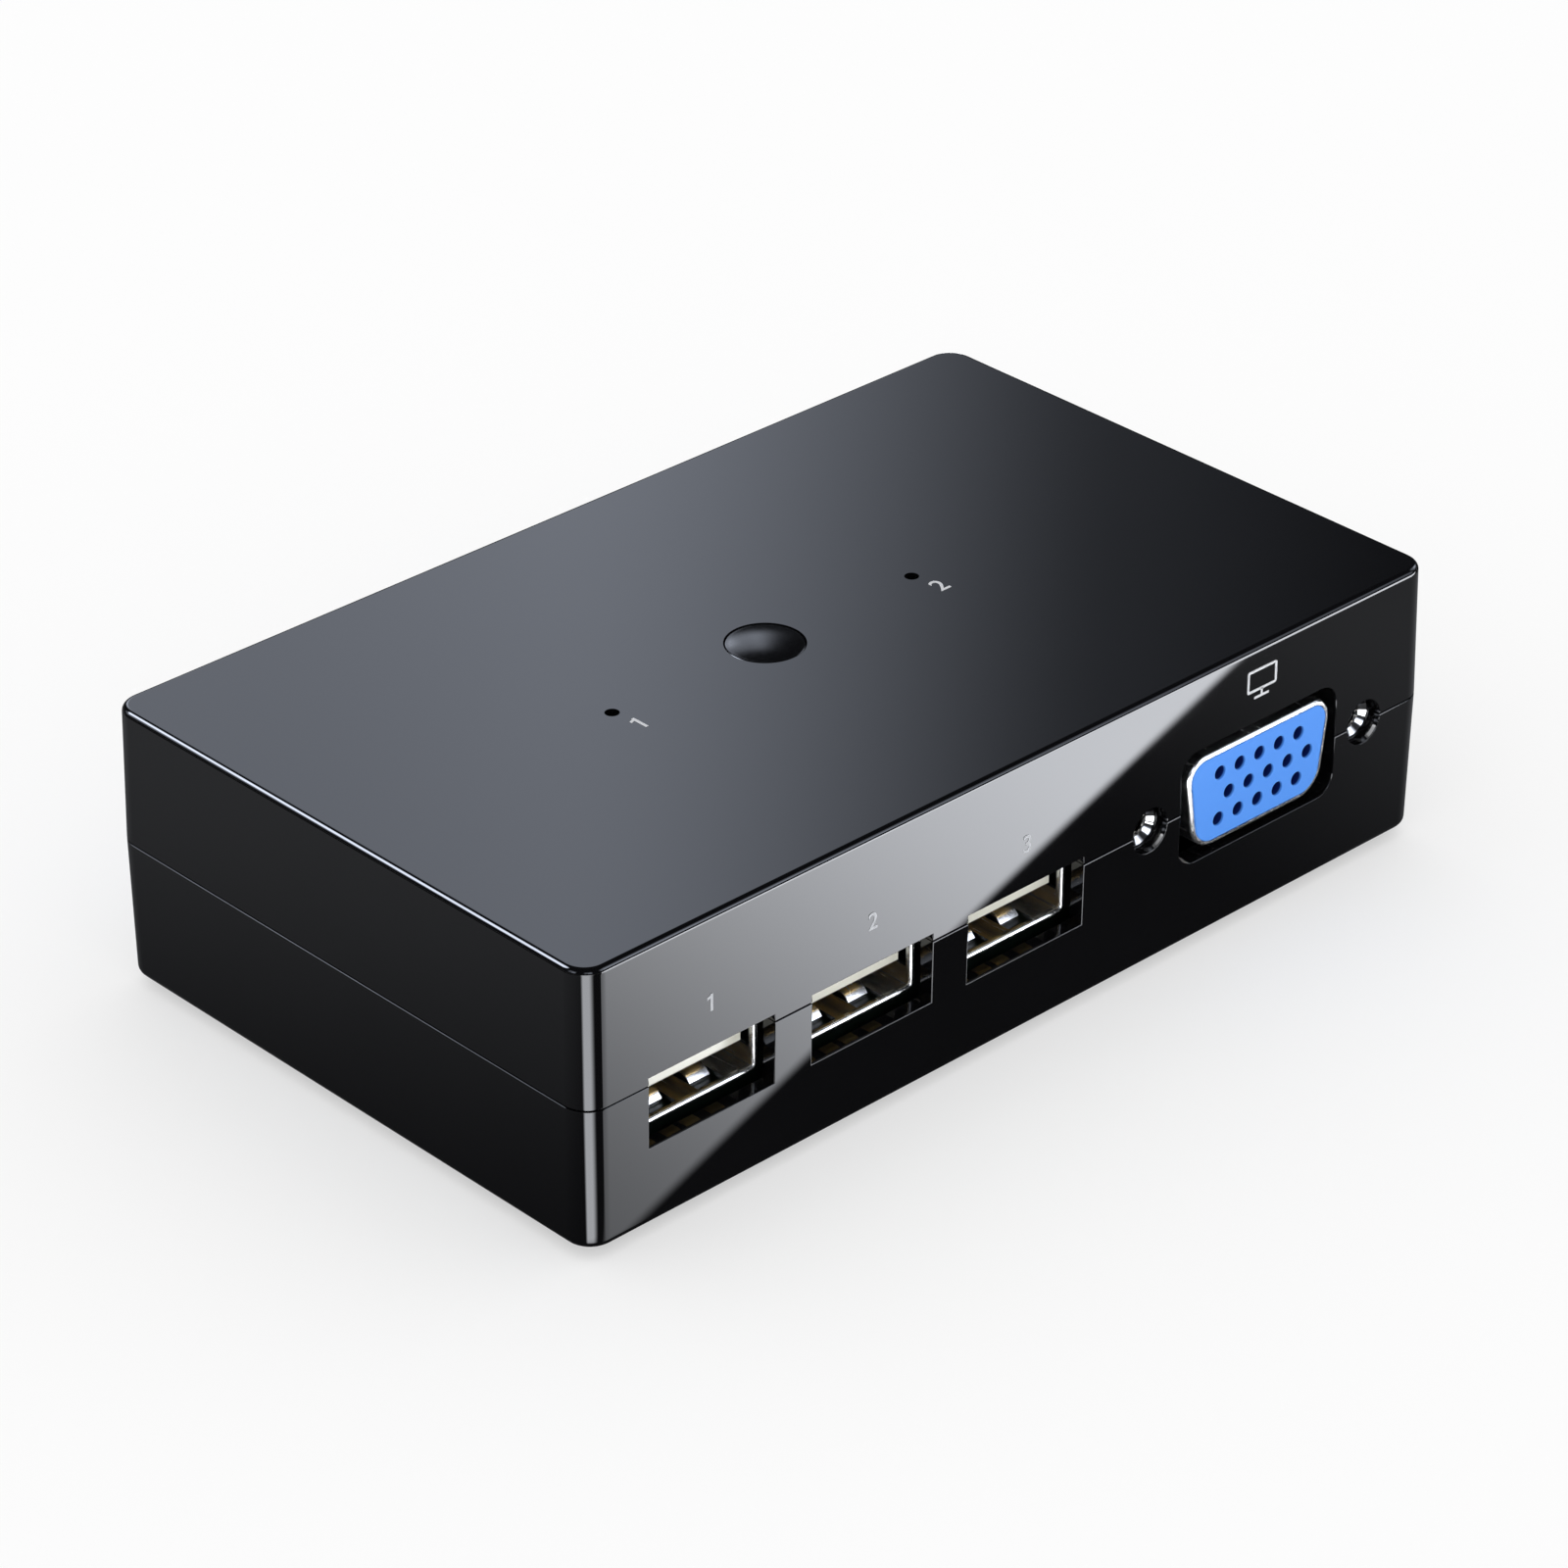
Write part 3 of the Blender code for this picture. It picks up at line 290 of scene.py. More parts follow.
def add_rod(centre, radius, axis, start, end, sides=ROUND_SIDES):
    """A rod along Y or Z between two places on its axis."""
    deselect_all()
    place = Vector(centre)
    place[axis] = (start + end) / 2
    tilt = (pi / 2, 0.0, 0.0) if axis == Y else (0.0, 0.0, 0.0)
    bpy.ops.mesh.primitive_cylinder_add(
        vertices=sides, radius=radius, depth=abs(end - start), location=place, rotation=tilt)
    return settle()


def turn_profile(points, centre, axis=Z, start=0.0, sides=ROUND_SIDES):
    """A turned piece: (radius, height) points, spun about an axis, with heights from a start."""
    deselect_all()
    base, upward = Vector(centre), Vector()
    base[axis], upward[axis] = start, 1.0
    spots = [base + Vector((radius, 0.0, 0.0)) + upward * height for radius, height in points]
    bpy.ops.mesh.primitive_plane_add(size=MM, location=spots[0])
    piece = settle()
    with editing(piece):
        bpy.ops.mesh.select_mode(type="VERT")
        bpy.ops.mesh.select_all(action="SELECT")
        bpy.ops.mesh.merge(type="CENTER")
        for here, there in zip(spots, spots[1:]):
            push(*(there - here))
        bpy.ops.mesh.select_all(action="SELECT")
        bpy.ops.mesh.spin(steps=sides, angle=2 * pi, center=base, axis=upward)
        bpy.ops.mesh.select_all(action="SELECT")
        bpy.ops.mesh.remove_doubles(threshold=DOUBLES)
        bpy.ops.mesh.normals_make_consistent(inside=False)
    return piece


def arc(centre, radius, start, end, steps=EDGE_STEPS):
    """Points of an arc in (radius, height), with its angles in degrees."""
    turns = [radians(start + (end - start) * i / steps) for i in range(steps + 1)]
    return [(centre[0] + radius * cos(turn), centre[1] + radius * sin(turn)) for turn in turns]


def combine(piece, tool, operation="DIFFERENCE"):
    """Cut a tool out of a piece, or join it on, and take the tool away."""
    make_active(piece)
    bpy.ops.object.modifier_add(type="BOOLEAN")
    modifier = piece.modifiers[-1]
    modifier.operation = operation
    modifier.solver = "EXACT"
    modifier.object = tool
    bpy.ops.object.modifier_apply(modifier=modifier.name)
    bpy.data.objects.remove(tool)


def join(pieces):
    """Make one object of several."""
    make_active(pieces[0])
    for piece in pieces[1:]:
        piece.select_set(True)
    bpy.ops.object.join()
    return pieces[0]


def copy_of(piece, offset, turned=False):
    """A copy with its own mesh, turned half round about the vertical if asked, then moved."""
    make_active(piece)
    bpy.ops.object.duplicate(linked=False)
    copy = bpy.context.object
    copy.rotation_euler.z = pi if turned else 0.0
    copy.location = offset
    return settle()


def complete(piece, name, material, slot, nodes=(), body=BODY):
    """Shade a piece, give it its material, and let it stand for its nodes on a body."""
    make_active(piece)
    settle()
    bpy.ops.object.shade_smooth_by_angle(angle=SMOOTH_ANGLE)
    bpy.ops.object.modifier_add(type="WEIGHTED_NORMAL")
    modifier = piece.modifiers[-1]
    modifier.keep_sharp = True
    bpy.ops.object.modifier_apply(modifier=modifier.name)
    piece.name = name
    piece.data.name = name
    piece.data.materials.clear()
    piece.data.materials.append(material)
    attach(piece, body)
    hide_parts(*nodes)


def spread(name):
    """A node's low and high corners, its centre and half its width."""
    low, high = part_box(name)
    return low, high, (low + high) / 2, (high.x - low.x) / 2


def node_centre(name):
    """The middle of a node's box."""
    return spread(name)[2]


def complete_each(piece, nodes, name_of, material, slot):
    """Complete a piece for the first of its nodes, and a copy of it for each other node."""
    first = node_centre(nodes[0])
    copies = [copy_of(piece, node_centre(node) - first) for node in nodes[1:]]
    for node, each in zip(nodes, [piece] + copies):
        complete(each, name_of(node), material, slot, [node])


def complete_sockets(family, count, kinds):
    """Complete the pieces of a family's first USB socket, and copies of them for the others."""
    places = [node_centre(f"usb_{family}_shell_{i + 1}") for i in range(count)]
    for kind, model, material, slot in kinds:
        copies = [copy_of(model, place - places[0]) for place in places[1:]]
        for i, piece in enumerate([model] + copies):
            node = f"usb_{family}_{kind}_{i + 1}"
            nodes = [node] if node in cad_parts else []
            complete(piece, f"socket_{family}_{kind}_{i + 1}", material, slot, nodes)


# Finishes: share of the colour in its darker mottling, roughness from and to, mottling and grain in
# patches to the metre, relief in millimetres, metallic
FINISHES = {
    "gloss_black_plastic": (0.8, (0.02, 0.035), 90.0, 140.0, 0.0006, 0.0),
    "satin_black_button": (0.8, (0.13, 0.19), 300.0, 2500.0, 0.001, 0.0),
    "soft_rubber": (0.7, (0.7, 0.95), 800.0, 4500.0, 0.03, 0.0),
    "smoke_pipe": (0.7, (0.08, 0.16), 400.0, 2000.0, 0.001, 0.0),
    "cream_moulding": (0.94, (0.15, 0.25), 600.0, 9000.0, 0.003, 0.0),
    "black_moulding": (0.94, (0.35, 0.5), 600.0, 9000.0, 0.003, 0.0),
    "blue_moulding_painted_shade": (0.94, (0.4, 0.55), 600.0, 9000.0, 0.003, 0.0),
    "nickel_plate": (0.92, (0.2, 0.28), 500.0, 2500.0, 0.001, 1.0),
    "gold_plate": (0.85, (0.35, 0.5), 900.0, 4000.0, 0.001, 1.0),
    "chrome_nut": (0.95, (0.05, 0.1), 700.0, 3000.0, 0.0006, 1.0),
    "zinc_screw": (0.85, (0.25, 0.4), 900.0, 5000.0, 0.002, 1.0),
    "aluminium_can": (0.85, (0.2, 0.35), 700.0, 4000.0, 0.002, 1.0),
    "pale_ink": (0.92, (0.45, 0.6), 3000.0, 9000.0, 0.002, 0.0),
    "port_ink": (0.92, (0.45, 0.6), 3000.0, 9000.0, 0.002, 0.0),
    "chip_epoxy": (0.7, (0.5, 0.7), 1500.0, 9000.0, 0.01, 0.0),
    "dark_board": (0.6, (0.3, 0.45), 250.0, 1200.0, 0.01, 0.0),
    "led_resin": (0.9, (0.2, 0.3), 900.0, 3000.0, 0.001, 0.0),
    "light_table": (0.99, (0.7, 0.8), 6.0, 40.0, 0.0, 0.0),
}
NOISE_SPAN = (0.3, 0.7)
NOISE_DETAIL = 3.0
ROLLING_LINES = (1.0, 0.1, 1.0)


def feed(tree, socket, value):
    """Link another node's output to a socket, or set a constant on it."""
    if isinstance(value, bpy.types.NodeSocket):
        tree.links.new(value, socket)
    else:
        socket.default_value = value


def add_node(tree, kind, **inputs):
    """A shader node with its inputs fed."""
    node = tree.nodes.new(f"ShaderNode{kind}")
    for name, value in inputs.items():
        feed(tree, node.inputs[name.replace("_", " ")], value)
    return node


def noise_on(tree, grain, stretch=EVEN):
    """A noise on Object coordinates, with its grain in patches to the metre."""
    place = add_node(tree, "TexCoord").outputs["Object"]
    mapping = add_node(tree, "Mapping", Vector=place, Scale=stretch)
    noise = add_node(tree, "TexNoise", Vector=mapping.outputs["Vector"], Scale=grain,
                     Detail=NOISE_DETAIL)
    return noise.outputs["Fac"]


def ranged(tree, source, span, low=0.0, high=1.0, kind="LINEAR"):
    """A value mapped from a span to another range."""
    node = add_node(tree, "MapRange", Value=source, From_Min=span[0], From_Max=span[1], To_Min=low,
                    To_Max=high)
    node.interpolation_type = kind
    return node.outputs["Result"]


def eased(tree, source, span, low=0.0, high=1.0):
    """A value mapped from a span to another range with soft ends."""
    return ranged(tree, source, span, low, high, "SMOOTHSTEP")


def faded(tree, angle, span, low=0.0, high=1.0):
    """A value that fades over a span of an angle, given in degrees."""
    return eased(tree, angle, [radians(end) for end in span], low, high)


def maths(tree, operation, *values):
    """A maths node on numbers and sockets."""
    node = add_node(tree, "Math")
    node.operation = operation
    for socket, value in zip(node.inputs, values):
        feed(tree, socket, value)
    return node.outputs["Value"]


def folded(tree, operation, values):
    """Several values added or multiplied together."""
    return reduce(lambda one, other: maths(tree, operation, one, other), values)


def along(tree, source, direction):
    """How far a vector reaches along a direction."""
    node = add_node(tree, "VectorMath")
    node.operation = "DOT_PRODUCT"
    feed(tree, node.inputs[0], source)
    feed(tree, node.inputs[1], direction)
    return node.outputs["Value"]


def finish(name, colour, stretch=EVEN, dark=None, tone_of=None, **inputs):
    """A finish: mottled colour, uneven roughness and a fine relief, on Object coordinates.

    The colour runs from its dark shade to its full tone by a noise, or by tone_of(tree).
    """
    if name in bpy.data.materials:
        return bpy.data.materials[name]
    shade, roughness, patches, grain, relief, metallic = FINISHES[name]
    material = bpy.data.materials.new(name)
    material.use_nodes = True
    tree = material.node_tree
    ramp = add_node(tree, "ValToRGB", Fac=tone_of(tree) if tone_of else noise_on(tree, patches))
    tones = (dark or [part * shade for part in colour], colour)
    for element, position, tone in zip(ramp.color_ramp.elements, NOISE_SPAN, tones):
        element.position = position
        element.color = (*tone, 1.0)
    fine = noise_on(tree, grain, stretch)
    inputs.update(Metallic=metallic, Base_Color=ramp.outputs["Color"],
                  Roughness=ranged(tree, fine, NOISE_SPAN, *roughness))
    if relief:
        inputs["Normal"] = add_node(tree, "Bump", Distance=relief * MM, Height=fine).outputs["Normal"]
    for socket, value in inputs.items():
        feed(tree, tree.nodes["Principled BSDF"].inputs[socket.replace("_", " ")], value)
    return material


def nickel(sockets):
    """Bright nickel plate with fine rolling lines."""
    return finish("nickel_plate", sockets.nickel, ROLLING_LINES)


# Windows and holes of the case
USB_A_WINDOW = mm(12.6, 6.1)
USB_B_MARGIN = 0.33 * MM
THIN_WALL = 1.3 * MM
THIN_WALL_MARGIN = 1.0 * MM
VIDEO_WINDOW = mm(18.05, 10.1)
VIDEO_WINDOW_CORNER = 1.8 * MM
JACK_HOLE = 1.95 * MM
BUTTON_HOLE = 3.3 * MM
LIGHT_HOLE = 0.6 * MM
CLEARANCE = 0.3 * MM
POST_RADIUS = 2.75 * MM
PILOT_RADIUS = 1.55 * MM
SCREW_BOSS = 3.8 * MM
OUTSIDE_DEPTH = 0.25 * MM


def wall_ends(way, case):
    """Where a cutter through the front or back wall starts and ends."""
    return sorted((FACE_Y[way] - way * 2 * case.wall, FACE_Y[way] + way * case.wall))


def thinned_window(centre, case):
    """A cutter for a USB-A window, which thins the front wall all round it from the inside."""
    step_y = FACE_Y[FRONT] + THIN_WALL
    block = add_slab(centre.xz, USB_A_WINDOW, FACE_Y[FRONT] - case.wall, step_y)
    wide, tall = [1 + THIN_WALL_MARGIN / (size / 2) for size in USB_A_WINDOW]
    with editing(block):
        pick("FACE", faces(Y, BACK))
        push()
        bpy.ops.transform.resize(value=(wide, 1.0, tall), center_override=(centre.x, step_y, centre.z))
        push(y=2 * case.wall)
    return block


def wall_cutters(case):
    """Cutters for every window and jack hole in the walls, as one object."""
    tools = [thinned_window(node_centre(f"usb_a_shell_{i + 1}"), case) for i in range(USB_A_COUNT)]
    for i in range(USB_B_COUNT):
        low, high, centre, _ = spread(f"usb_b_shell_{i + 1}")
        size = [high[axis] - low[axis] + 2 * USB_B_MARGIN for axis in (X, Z)]
        tools.append(add_slab(centre.xz, size, *wall_ends(BACK, case)))
    for socket, way in VIDEO_SOCKETS:
        ends = wall_ends(way, case)
        window = add_slab(node_centre(f"{socket}_insulator").xz, VIDEO_WINDOW, *ends)
        tools.append(rounded(window, runs_along(Y), VIDEO_WINDOW_CORNER, EDGE_STEPS))
        for side in JACK_SIDES:
            tools.append(add_rod(node_centre(f"{socket}_jack_{side}"), JACK_HOLE, Y, *ends))
    return join(tools)


def is_outside(face):
    """Whether a face is on the flat outside of the case."""
    centre = face.calc_center_median()
    spans = ((Y, TRAY_LOW.y, TRAY_HIGH.y), (Z, TRAY_LOW.z, COVER_TOP))
    return any(abs(face.normal[axis]) > SAME_WAY
               and min(centre[axis] - low, high - centre[axis]) < OUTSIDE_DEPTH
               for axis, low, high in spans)


def at_opening(edge):
    """Whether the outside of the case meets the wall of a window or hole at an edge."""
    if len(edge.link_faces) != 2:
        return False
    one, other = edge.link_faces
    return is_outside(one) != is_outside(other) and abs(one.normal.dot(other.normal)) < SQUARE


def shell_block(low_z, high_z, flat_z, draft, edge, case):
    """A case-sized block, drawn in at its flat end, with round corners and a round edge there."""
    block = add_block((*TRAY_LOW.xy, low_z), (*TRAY_HIGH.xy, high_z))
    drawn = [1 - 2 * draft / (TRAY_HIGH[axis] - TRAY_LOW[axis]) for axis in (X, Y)]
    with editing(block):
        pick("VERT", lambda vertex: abs(vertex.co.z - flat_z) < NEAR)
        bpy.ops.transform.resize(value=(*drawn, 1.0), center_override=(0.0, 0.0, flat_z))
        round_edges(runs_along(Z), case.corner, CORNER_STEPS)
        round_edges(lies_at(Z, flat_z), edge, EDGE_STEPS)
    return block


class KVM_OT_upper_shell(bpy.types.Operator):
    """Model the upper shell: round roof edge, seam rebate, posts, windows and top holes"""

    bl_idname = "kvm.upper_shell"
    bl_label = "Upper Shell"

    def execute(self, context):
        case = context.scene.kvm_case
        rim_z = TRAY_HIGH.z - case.lip_height + case.seam_gap / 2
        roof_z = COVER_TOP - case.roof
        rebate_z = TRAY_HIGH.z + CLEARANCE
        shell = shell_block(rim_z, COVER_TOP, COVER_TOP, case.roof_draft, case.roof_edge, case)
        with editing(shell):
            pick("FACE", faces(Z, -1))
            inset_push(case.lip_land, z=rebate_z - rim_z)
            inset_push(case.wall - case.lip_land, z=roof_z - rebate_z)
            round_edges(outer_rim(Z, rim_z), case.seam_edge)
        post_ends = (BOARD_HIGH.z + CLEARANCE, COVER_TOP - case.roof / 2)
        posts = [add_rod(node_centre(node), POST_RADIUS, Z, *post_ends) for node in SCREW_NODES]
        combine(shell, join(posts), "UNION")
        combine(shell, wall_cutters(case))
        rounded(shell, at_opening, case.window_edge)
        ends = (roof_z - case.roof, COVER_TOP + case.roof)
        holes = [add_rod(node_centre(node), LIGHT_HOLE, Z, *ends) for node in LIGHT_NODES]
        holes.append(add_rod(node_centre("select_button"), BUTTON_HOLE, Z, *ends))
        for node in SCREW_NODES:
            _, high, centre, _ = spread(node)
            holes.append(add_rod(centre, PILOT_RADIUS, Z, TRAY_LOW.z, high.z + CLEARANCE))
        combine(shell, join(holes))
        gloss = finish("gloss_black_plastic", case.plastic)
        complete(shell, "top_cover", gloss, "case", ["upper_shell"])
        return {"FINISHED"}


class KVM_OT_lower_shell(bpy.types.Operator):
    """Model the lower shell: lip, screw bosses, windows, foot recesses and counterbores"""

    bl_idname = "kvm.lower_shell"
    bl_label = "Lower Shell"

    def execute(self, context):
        case = context.scene.kvm_case
        rim_z = TRAY_HIGH.z - case.lip_height - case.seam_gap / 2
        base_z = TRAY_LOW.z
        below_z, floor_z = base_z - case.floor, base_z + case.floor
        lip_start = case.lip_land + CLEARANCE
        shell = shell_block(base_z, rim_z, base_z, case.floor_draft, case.floor_edge, case)
        with editing(shell):
            pick("FACE", faces(Z, 1))
            inset_push(lip_start, z=TRAY_HIGH.z - rim_z)
            inset_push(case.wall - lip_start, z=floor_z - TRAY_HIGH.z)
            round_edges(outer_rim(Z, rim_z), case.seam_edge)
        boss_ends = (floor_z - case.floor / 2, BOARD_LOW.z - CLEARANCE)
        bosses, shanks, sinks = [], [], []
        for node in SCREW_NODES:
            low, high, centre, radius = spread(node)
            bosses.append(add_rod(centre, SCREW_BOSS, Z, *boss_ends))
            shanks.append(add_rod(centre, PILOT_RADIUS, Z, below_z, high.z))
            sink_z = low.z + SCREW_HEAD + CLEARANCE
            sinks.append(add_rod(centre, radius + CLEARANCE, Z, below_z, sink_z))
        for node in FOOT_NODES:
            low, high, centre, radius = spread(node)
            sinks.append(add_rod(centre, radius + CLEARANCE, Z, below_z, high.z + CLEARANCE))
        combine(shell, join(bosses), "UNION")
        for cutter in (wall_cutters(case), join(shanks), join(sinks)):
            combine(shell, cutter)
        rounded(shell, at_opening, case.window_edge)
        gloss = finish("gloss_black_plastic", case.plastic)
        complete(shell, "bottom_tray", gloss, "case", ["lower_shell"])
        return {"FINISHED"}


# Case screws: round head below, threaded shank above
SCREW_HEAD = 1.6 * MM
SCREW_HEAD_EDGE = 0.5 * MM
SCREW_SHANK = 1.25 * MM
SCREW_ROOT = 1.0 * MM
SCREW_PITCH = 0.8 * MM
SCREW_CROSS = mm(2.6, 0.6, 0.9)
ZINC = (0.60, 0.60, 0.58)


class KVM_OT_case_screws(bpy.types.Operator):
    """Model the cross-recessed case screws under the floor"""

    bl_idname = "kvm.case_screws"
    bl_label = "Case Screws"

    def execute(self, context):
        low, high, centre, radius = spread(SCREW_NODES[0])
        head_top = low.z + SCREW_HEAD
        profile = [(0.0, low.z)]
        profile += arc((radius - SCREW_HEAD_EDGE, low.z + SCREW_HEAD_EDGE), SCREW_HEAD_EDGE, -90, 0)
        profile += [(radius, head_top), (SCREW_ROOT, head_top)]
        crest_z = head_top + SCREW_PITCH
        while crest_z < high.z - SCREW_PITCH:
            profile += [(SCREW_SHANK, crest_z), (SCREW_ROOT, crest_z + SCREW_PITCH / 2)]
            crest_z += SCREW_PITCH
        profile += [(SCREW_ROOT, high.z - SCREW_PITCH / 2), (0.0, high.z)]
        screw = turn_profile(profile, centre, sides=SMALL_SIDES)
        across, slot, depth = SCREW_CROSS
        foot = Vector((*centre.xy, low.z))
        for reach in ((across, slot), (slot, across)):
            corner = Vector((reach[0] / 2, reach[1] / 2, depth))
            combine(screw, add_block(foot - corner, foot + corner))
        zinc = finish("zinc_screw", ZINC)
        complete_each(screw, SCREW_NODES, lambda node: f"screw_{node[-1]}", zinc, "screw")
        return {"FINISHED"}


# Feet: the dish's ends are shares of the radius
FOOT_EDGE = 0.35 * MM
FOOT_DISH = 0.12 * MM
FOOT_DISH_ENDS = (0.6, 0.75)


class KVM_OT_feet(bpy.types.Operator):
    """Model the round rubber feet, with a soft edge and a slightly dished underside"""

    bl_idname = "kvm.feet"
    bl_label = "Feet"

    def execute(self, context):
        low, high, centre, radius = spread(FOOT_NODES[0])
        dish, rim = [radius * share for share in FOOT_DISH_ENDS]
        profile = [(0.0, low.z + FOOT_DISH), (dish, low.z + FOOT_DISH), (rim, low.z)]
        profile += arc((radius - FOOT_EDGE, low.z + FOOT_EDGE), FOOT_EDGE, -90, 0)
        profile += [(radius, high.z), (0.0, high.z)]
        foot = turn_profile(profile, centre)
        rubber = finish("soft_rubber", context.scene.kvm_case.rubber)
        complete_each(foot, FOOT_NODES, lambda node: f"rubber_{node}", rubber, "foot_rubber")
        return {"FINISHED"}


BUTTON_RADIUS = 3.25 * MM
BUTTON_DOME = 0.34 * MM
BUTTON_EDGE = 0.2 * MM
BUTTON_FLANGE = 0.8 * MM
BUTTON_STEM = 1.7 * MM


class KVM_OT_select_button(bpy.types.Operator):
    """Model the domed select button with its flange and stem"""

    bl_idname = "kvm.select_button"
    bl_label = "Select Button"

    def execute(self, context):
        case = context.scene.kvm_case
        low, high, centre, flange_radius = spread("select_button")
        dome_radius = BUTTON_RADIUS - BUTTON_EDGE
        sphere = (dome_radius ** 2 + BUTTON_DOME ** 2) / (2 * BUTTON_DOME)
        rim_angle = 90 - degrees(asin(dome_radius / sphere))
        rim_z = high.z - BUTTON_DOME
        flange_z = COVER_TOP - case.roof - CLEARANCE
        under_z = flange_z - BUTTON_FLANGE
        profile = arc((0.0, high.z - sphere), sphere, 90, rim_angle, CORNER_STEPS)
        profile += arc((dome_radius, rim_z - BUTTON_EDGE), BUTTON_EDGE, rim_angle, 0)
        profile += [(BUTTON_RADIUS, flange_z), (flange_radius, flange_z), (flange_radius, under_z),
                    (BUTTON_STEM, under_z), (BUTTON_STEM, low.z), (0.0, low.z)]
        cap = turn_profile(profile, centre, sides=BUTTON_SIDES)
        satin = finish("satin_black_button", case.plastic)
        complete(cap, "button_cap", satin, "button", ["select_button"], "button")
        return {"FINISHED"}


LIGHT_TIP = 0.42 * MM
LIGHT_TIP_DROP = 0.5 * MM
LIGHT_PIPE = 1.2 * MM
SMOKE = (0.012, 0.012, 0.014)
SMOKE_IOR = 1.49


class KVM_OT_light_pipes(bpy.types.Operator):
    """Model the smoke-coloured light pipes with round tips in their pinholes"""

    bl_idname = "kvm.light_pipes"
    bl_label = "Light Pipes"

    def execute(self, context):
        low, high, centre, _ = spread(LIGHT_NODES[0])
        shoulder_z = COVER_TOP - context.scene.kvm_case.roof - CLEARANCE
        profile = arc((0.0, high.z - LIGHT_TIP_DROP - LIGHT_TIP), LIGHT_TIP, 90, 0)
        profile += [(LIGHT_TIP, shoulder_z), (LIGHT_PIPE, shoulder_z), (LIGHT_PIPE, low.z), (0.0, low.z)]
        pipe = turn_profile(profile, centre, sides=SMALL_SIDES)
        smoke = finish("smoke_pipe", SMOKE, IOR=SMOKE_IOR)
        complete_each(pipe, LIGHT_NODES, lambda node: f"smoke_{node}", smoke, "light_pipe")
        return {"FINISHED"}


# USB-A sockets: the finger's steps are runs forwards and lifts inwards, in millimetres
USB_A_CORNER = 0.7 * MM
USB_A_RIM_DEPTH = 0.5 * MM
USB_A_RIM_EDGE = 0.22 * MM
FINGER_X = 2.4 * MM
FINGER_WIDTH = 2.0 * MM
FINGER_ROOT = 6.2 * MM
FINGER_OPENING, FINGER_OPENING_START = mm(2.6, 0.7)
SIDE_FINGER_WIDTH = 1.5 * MM
SIDE_FINGER_LIFT = 0.6
FINGER_STEPS = ((1.0, 0.10), (0.9, 0.20), (0.7, 0.15), (0.4, 0.02), (0.3, -0.10), (0.25, -0.20),
                (0.2, -0.22), (0.15, -0.18))
TONGUE_WIDTH = 11.1 * MM
TONGUE_THICKNESS = 1.84 * MM
TONGUE_RISE = 0.72 * MM
TONGUE_EDGE = 0.25 * MM
TONGUE_BASE = 2.4 * MM
TONGUE_SPECULAR = 1.0
USB_A_CONTACT_X = mm(-3.5, -1.0, 1.0, 3.5)
CONTACT_PROUD = 0.1 * MM
CONTACT_START = 0.7 * MM
# The bed under a tongue is a dark sheet of painted shade
BED_THICKNESS = 0.15 * MM


def usb_a_shell(sockets):
    """A folded metal tube, closed at the back, with spring fingers in its four walls."""
    low, high, centre, _ = spread("usb_a_shell_1")
    sheet, rim = sockets.sheet, sockets.mouth_rim
    tube = add_block(low, high)
    with editing(tube):
        round_edges(runs_along(Y), USB_A_CORNER, EDGE_STEPS)
        pick("FACE", faces(Y, FRONT))
        inset_push(rim, y=USB_A_RIM_DEPTH)
        push()
        halves = [centre[axis] - low[axis] for axis in (X, Z)]
        wide, tall = [(half - sheet) / (half - rim) for half in halves]
        bpy.ops.transform.resize(value=(wide, 1.0, tall), center_override=centre)
        push(y=high.y - low.y - sheet - USB_A_RIM_DEPTH)
        round_edges(lies_at(Y, low.y), USB_A_RIM_EDGE)
    start_y, root_y = low.y + FINGER_OPENING_START, low.y + FINGER_ROOT
    openings, fingers = [], []

    def spring_finger(middle, size, opening, inward):
        """A bent finger, drawn forwards from its root and lifted inwards, and its opening."""
        openings.append(add_slab(middle, opening, start_y, root_y))
        finger = add_slab(middle, size, root_y - sheet, root_y + sheet)
        with editing(finger):
            pick("FACE", faces(Y, FRONT))
            for run, rise in FINGER_STEPS:
                push(inward[0] * rise * MM, -run * MM, inward[1] * rise * MM)
        fingers.append(finger)

    for side in (-1, 1):
        for wall_z, inward in ((low.z + sheet / 2, 1.0), (high.z - sheet / 2, -1.0)):
            spring_finger((centre.x + side * FINGER_X, wall_z), (FINGER_WIDTH, sheet),
                          (FINGER_OPENING, 3 * sheet), (0.0, inward))
        wall_x = low.x + sheet / 2 if side < 0 else high.x - sheet / 2
        spring_finger((wall_x, centre.z), (sheet, SIDE_FINGER_WIDTH),
                      (3 * sheet, SIDE_FINGER_WIDTH + 2 * sheet), (-side * SIDE_FINGER_LIFT, 0.0))
    combine(tube, join(openings))
    return join([tube] + fingers)


def usb_a_tongue():
    """A cream tongue with eased edges on a base that fills the back of its shell."""
    low, high, centre, _ = spread("usb_a_tongue_1")
    base = add_block((low.x, high.y - TONGUE_BASE, low.z), high)
    tongue = add_slab((centre.x, centre.z + TONGUE_RISE), (TONGUE_WIDTH, TONGUE_THICKNESS), low.y,
                      high.y - TONGUE_BASE / 2)
    rounded(tongue, lies_at(Y, low.y), TONGUE_EDGE)
    combine(tongue, base, "UNION")
    return tongue


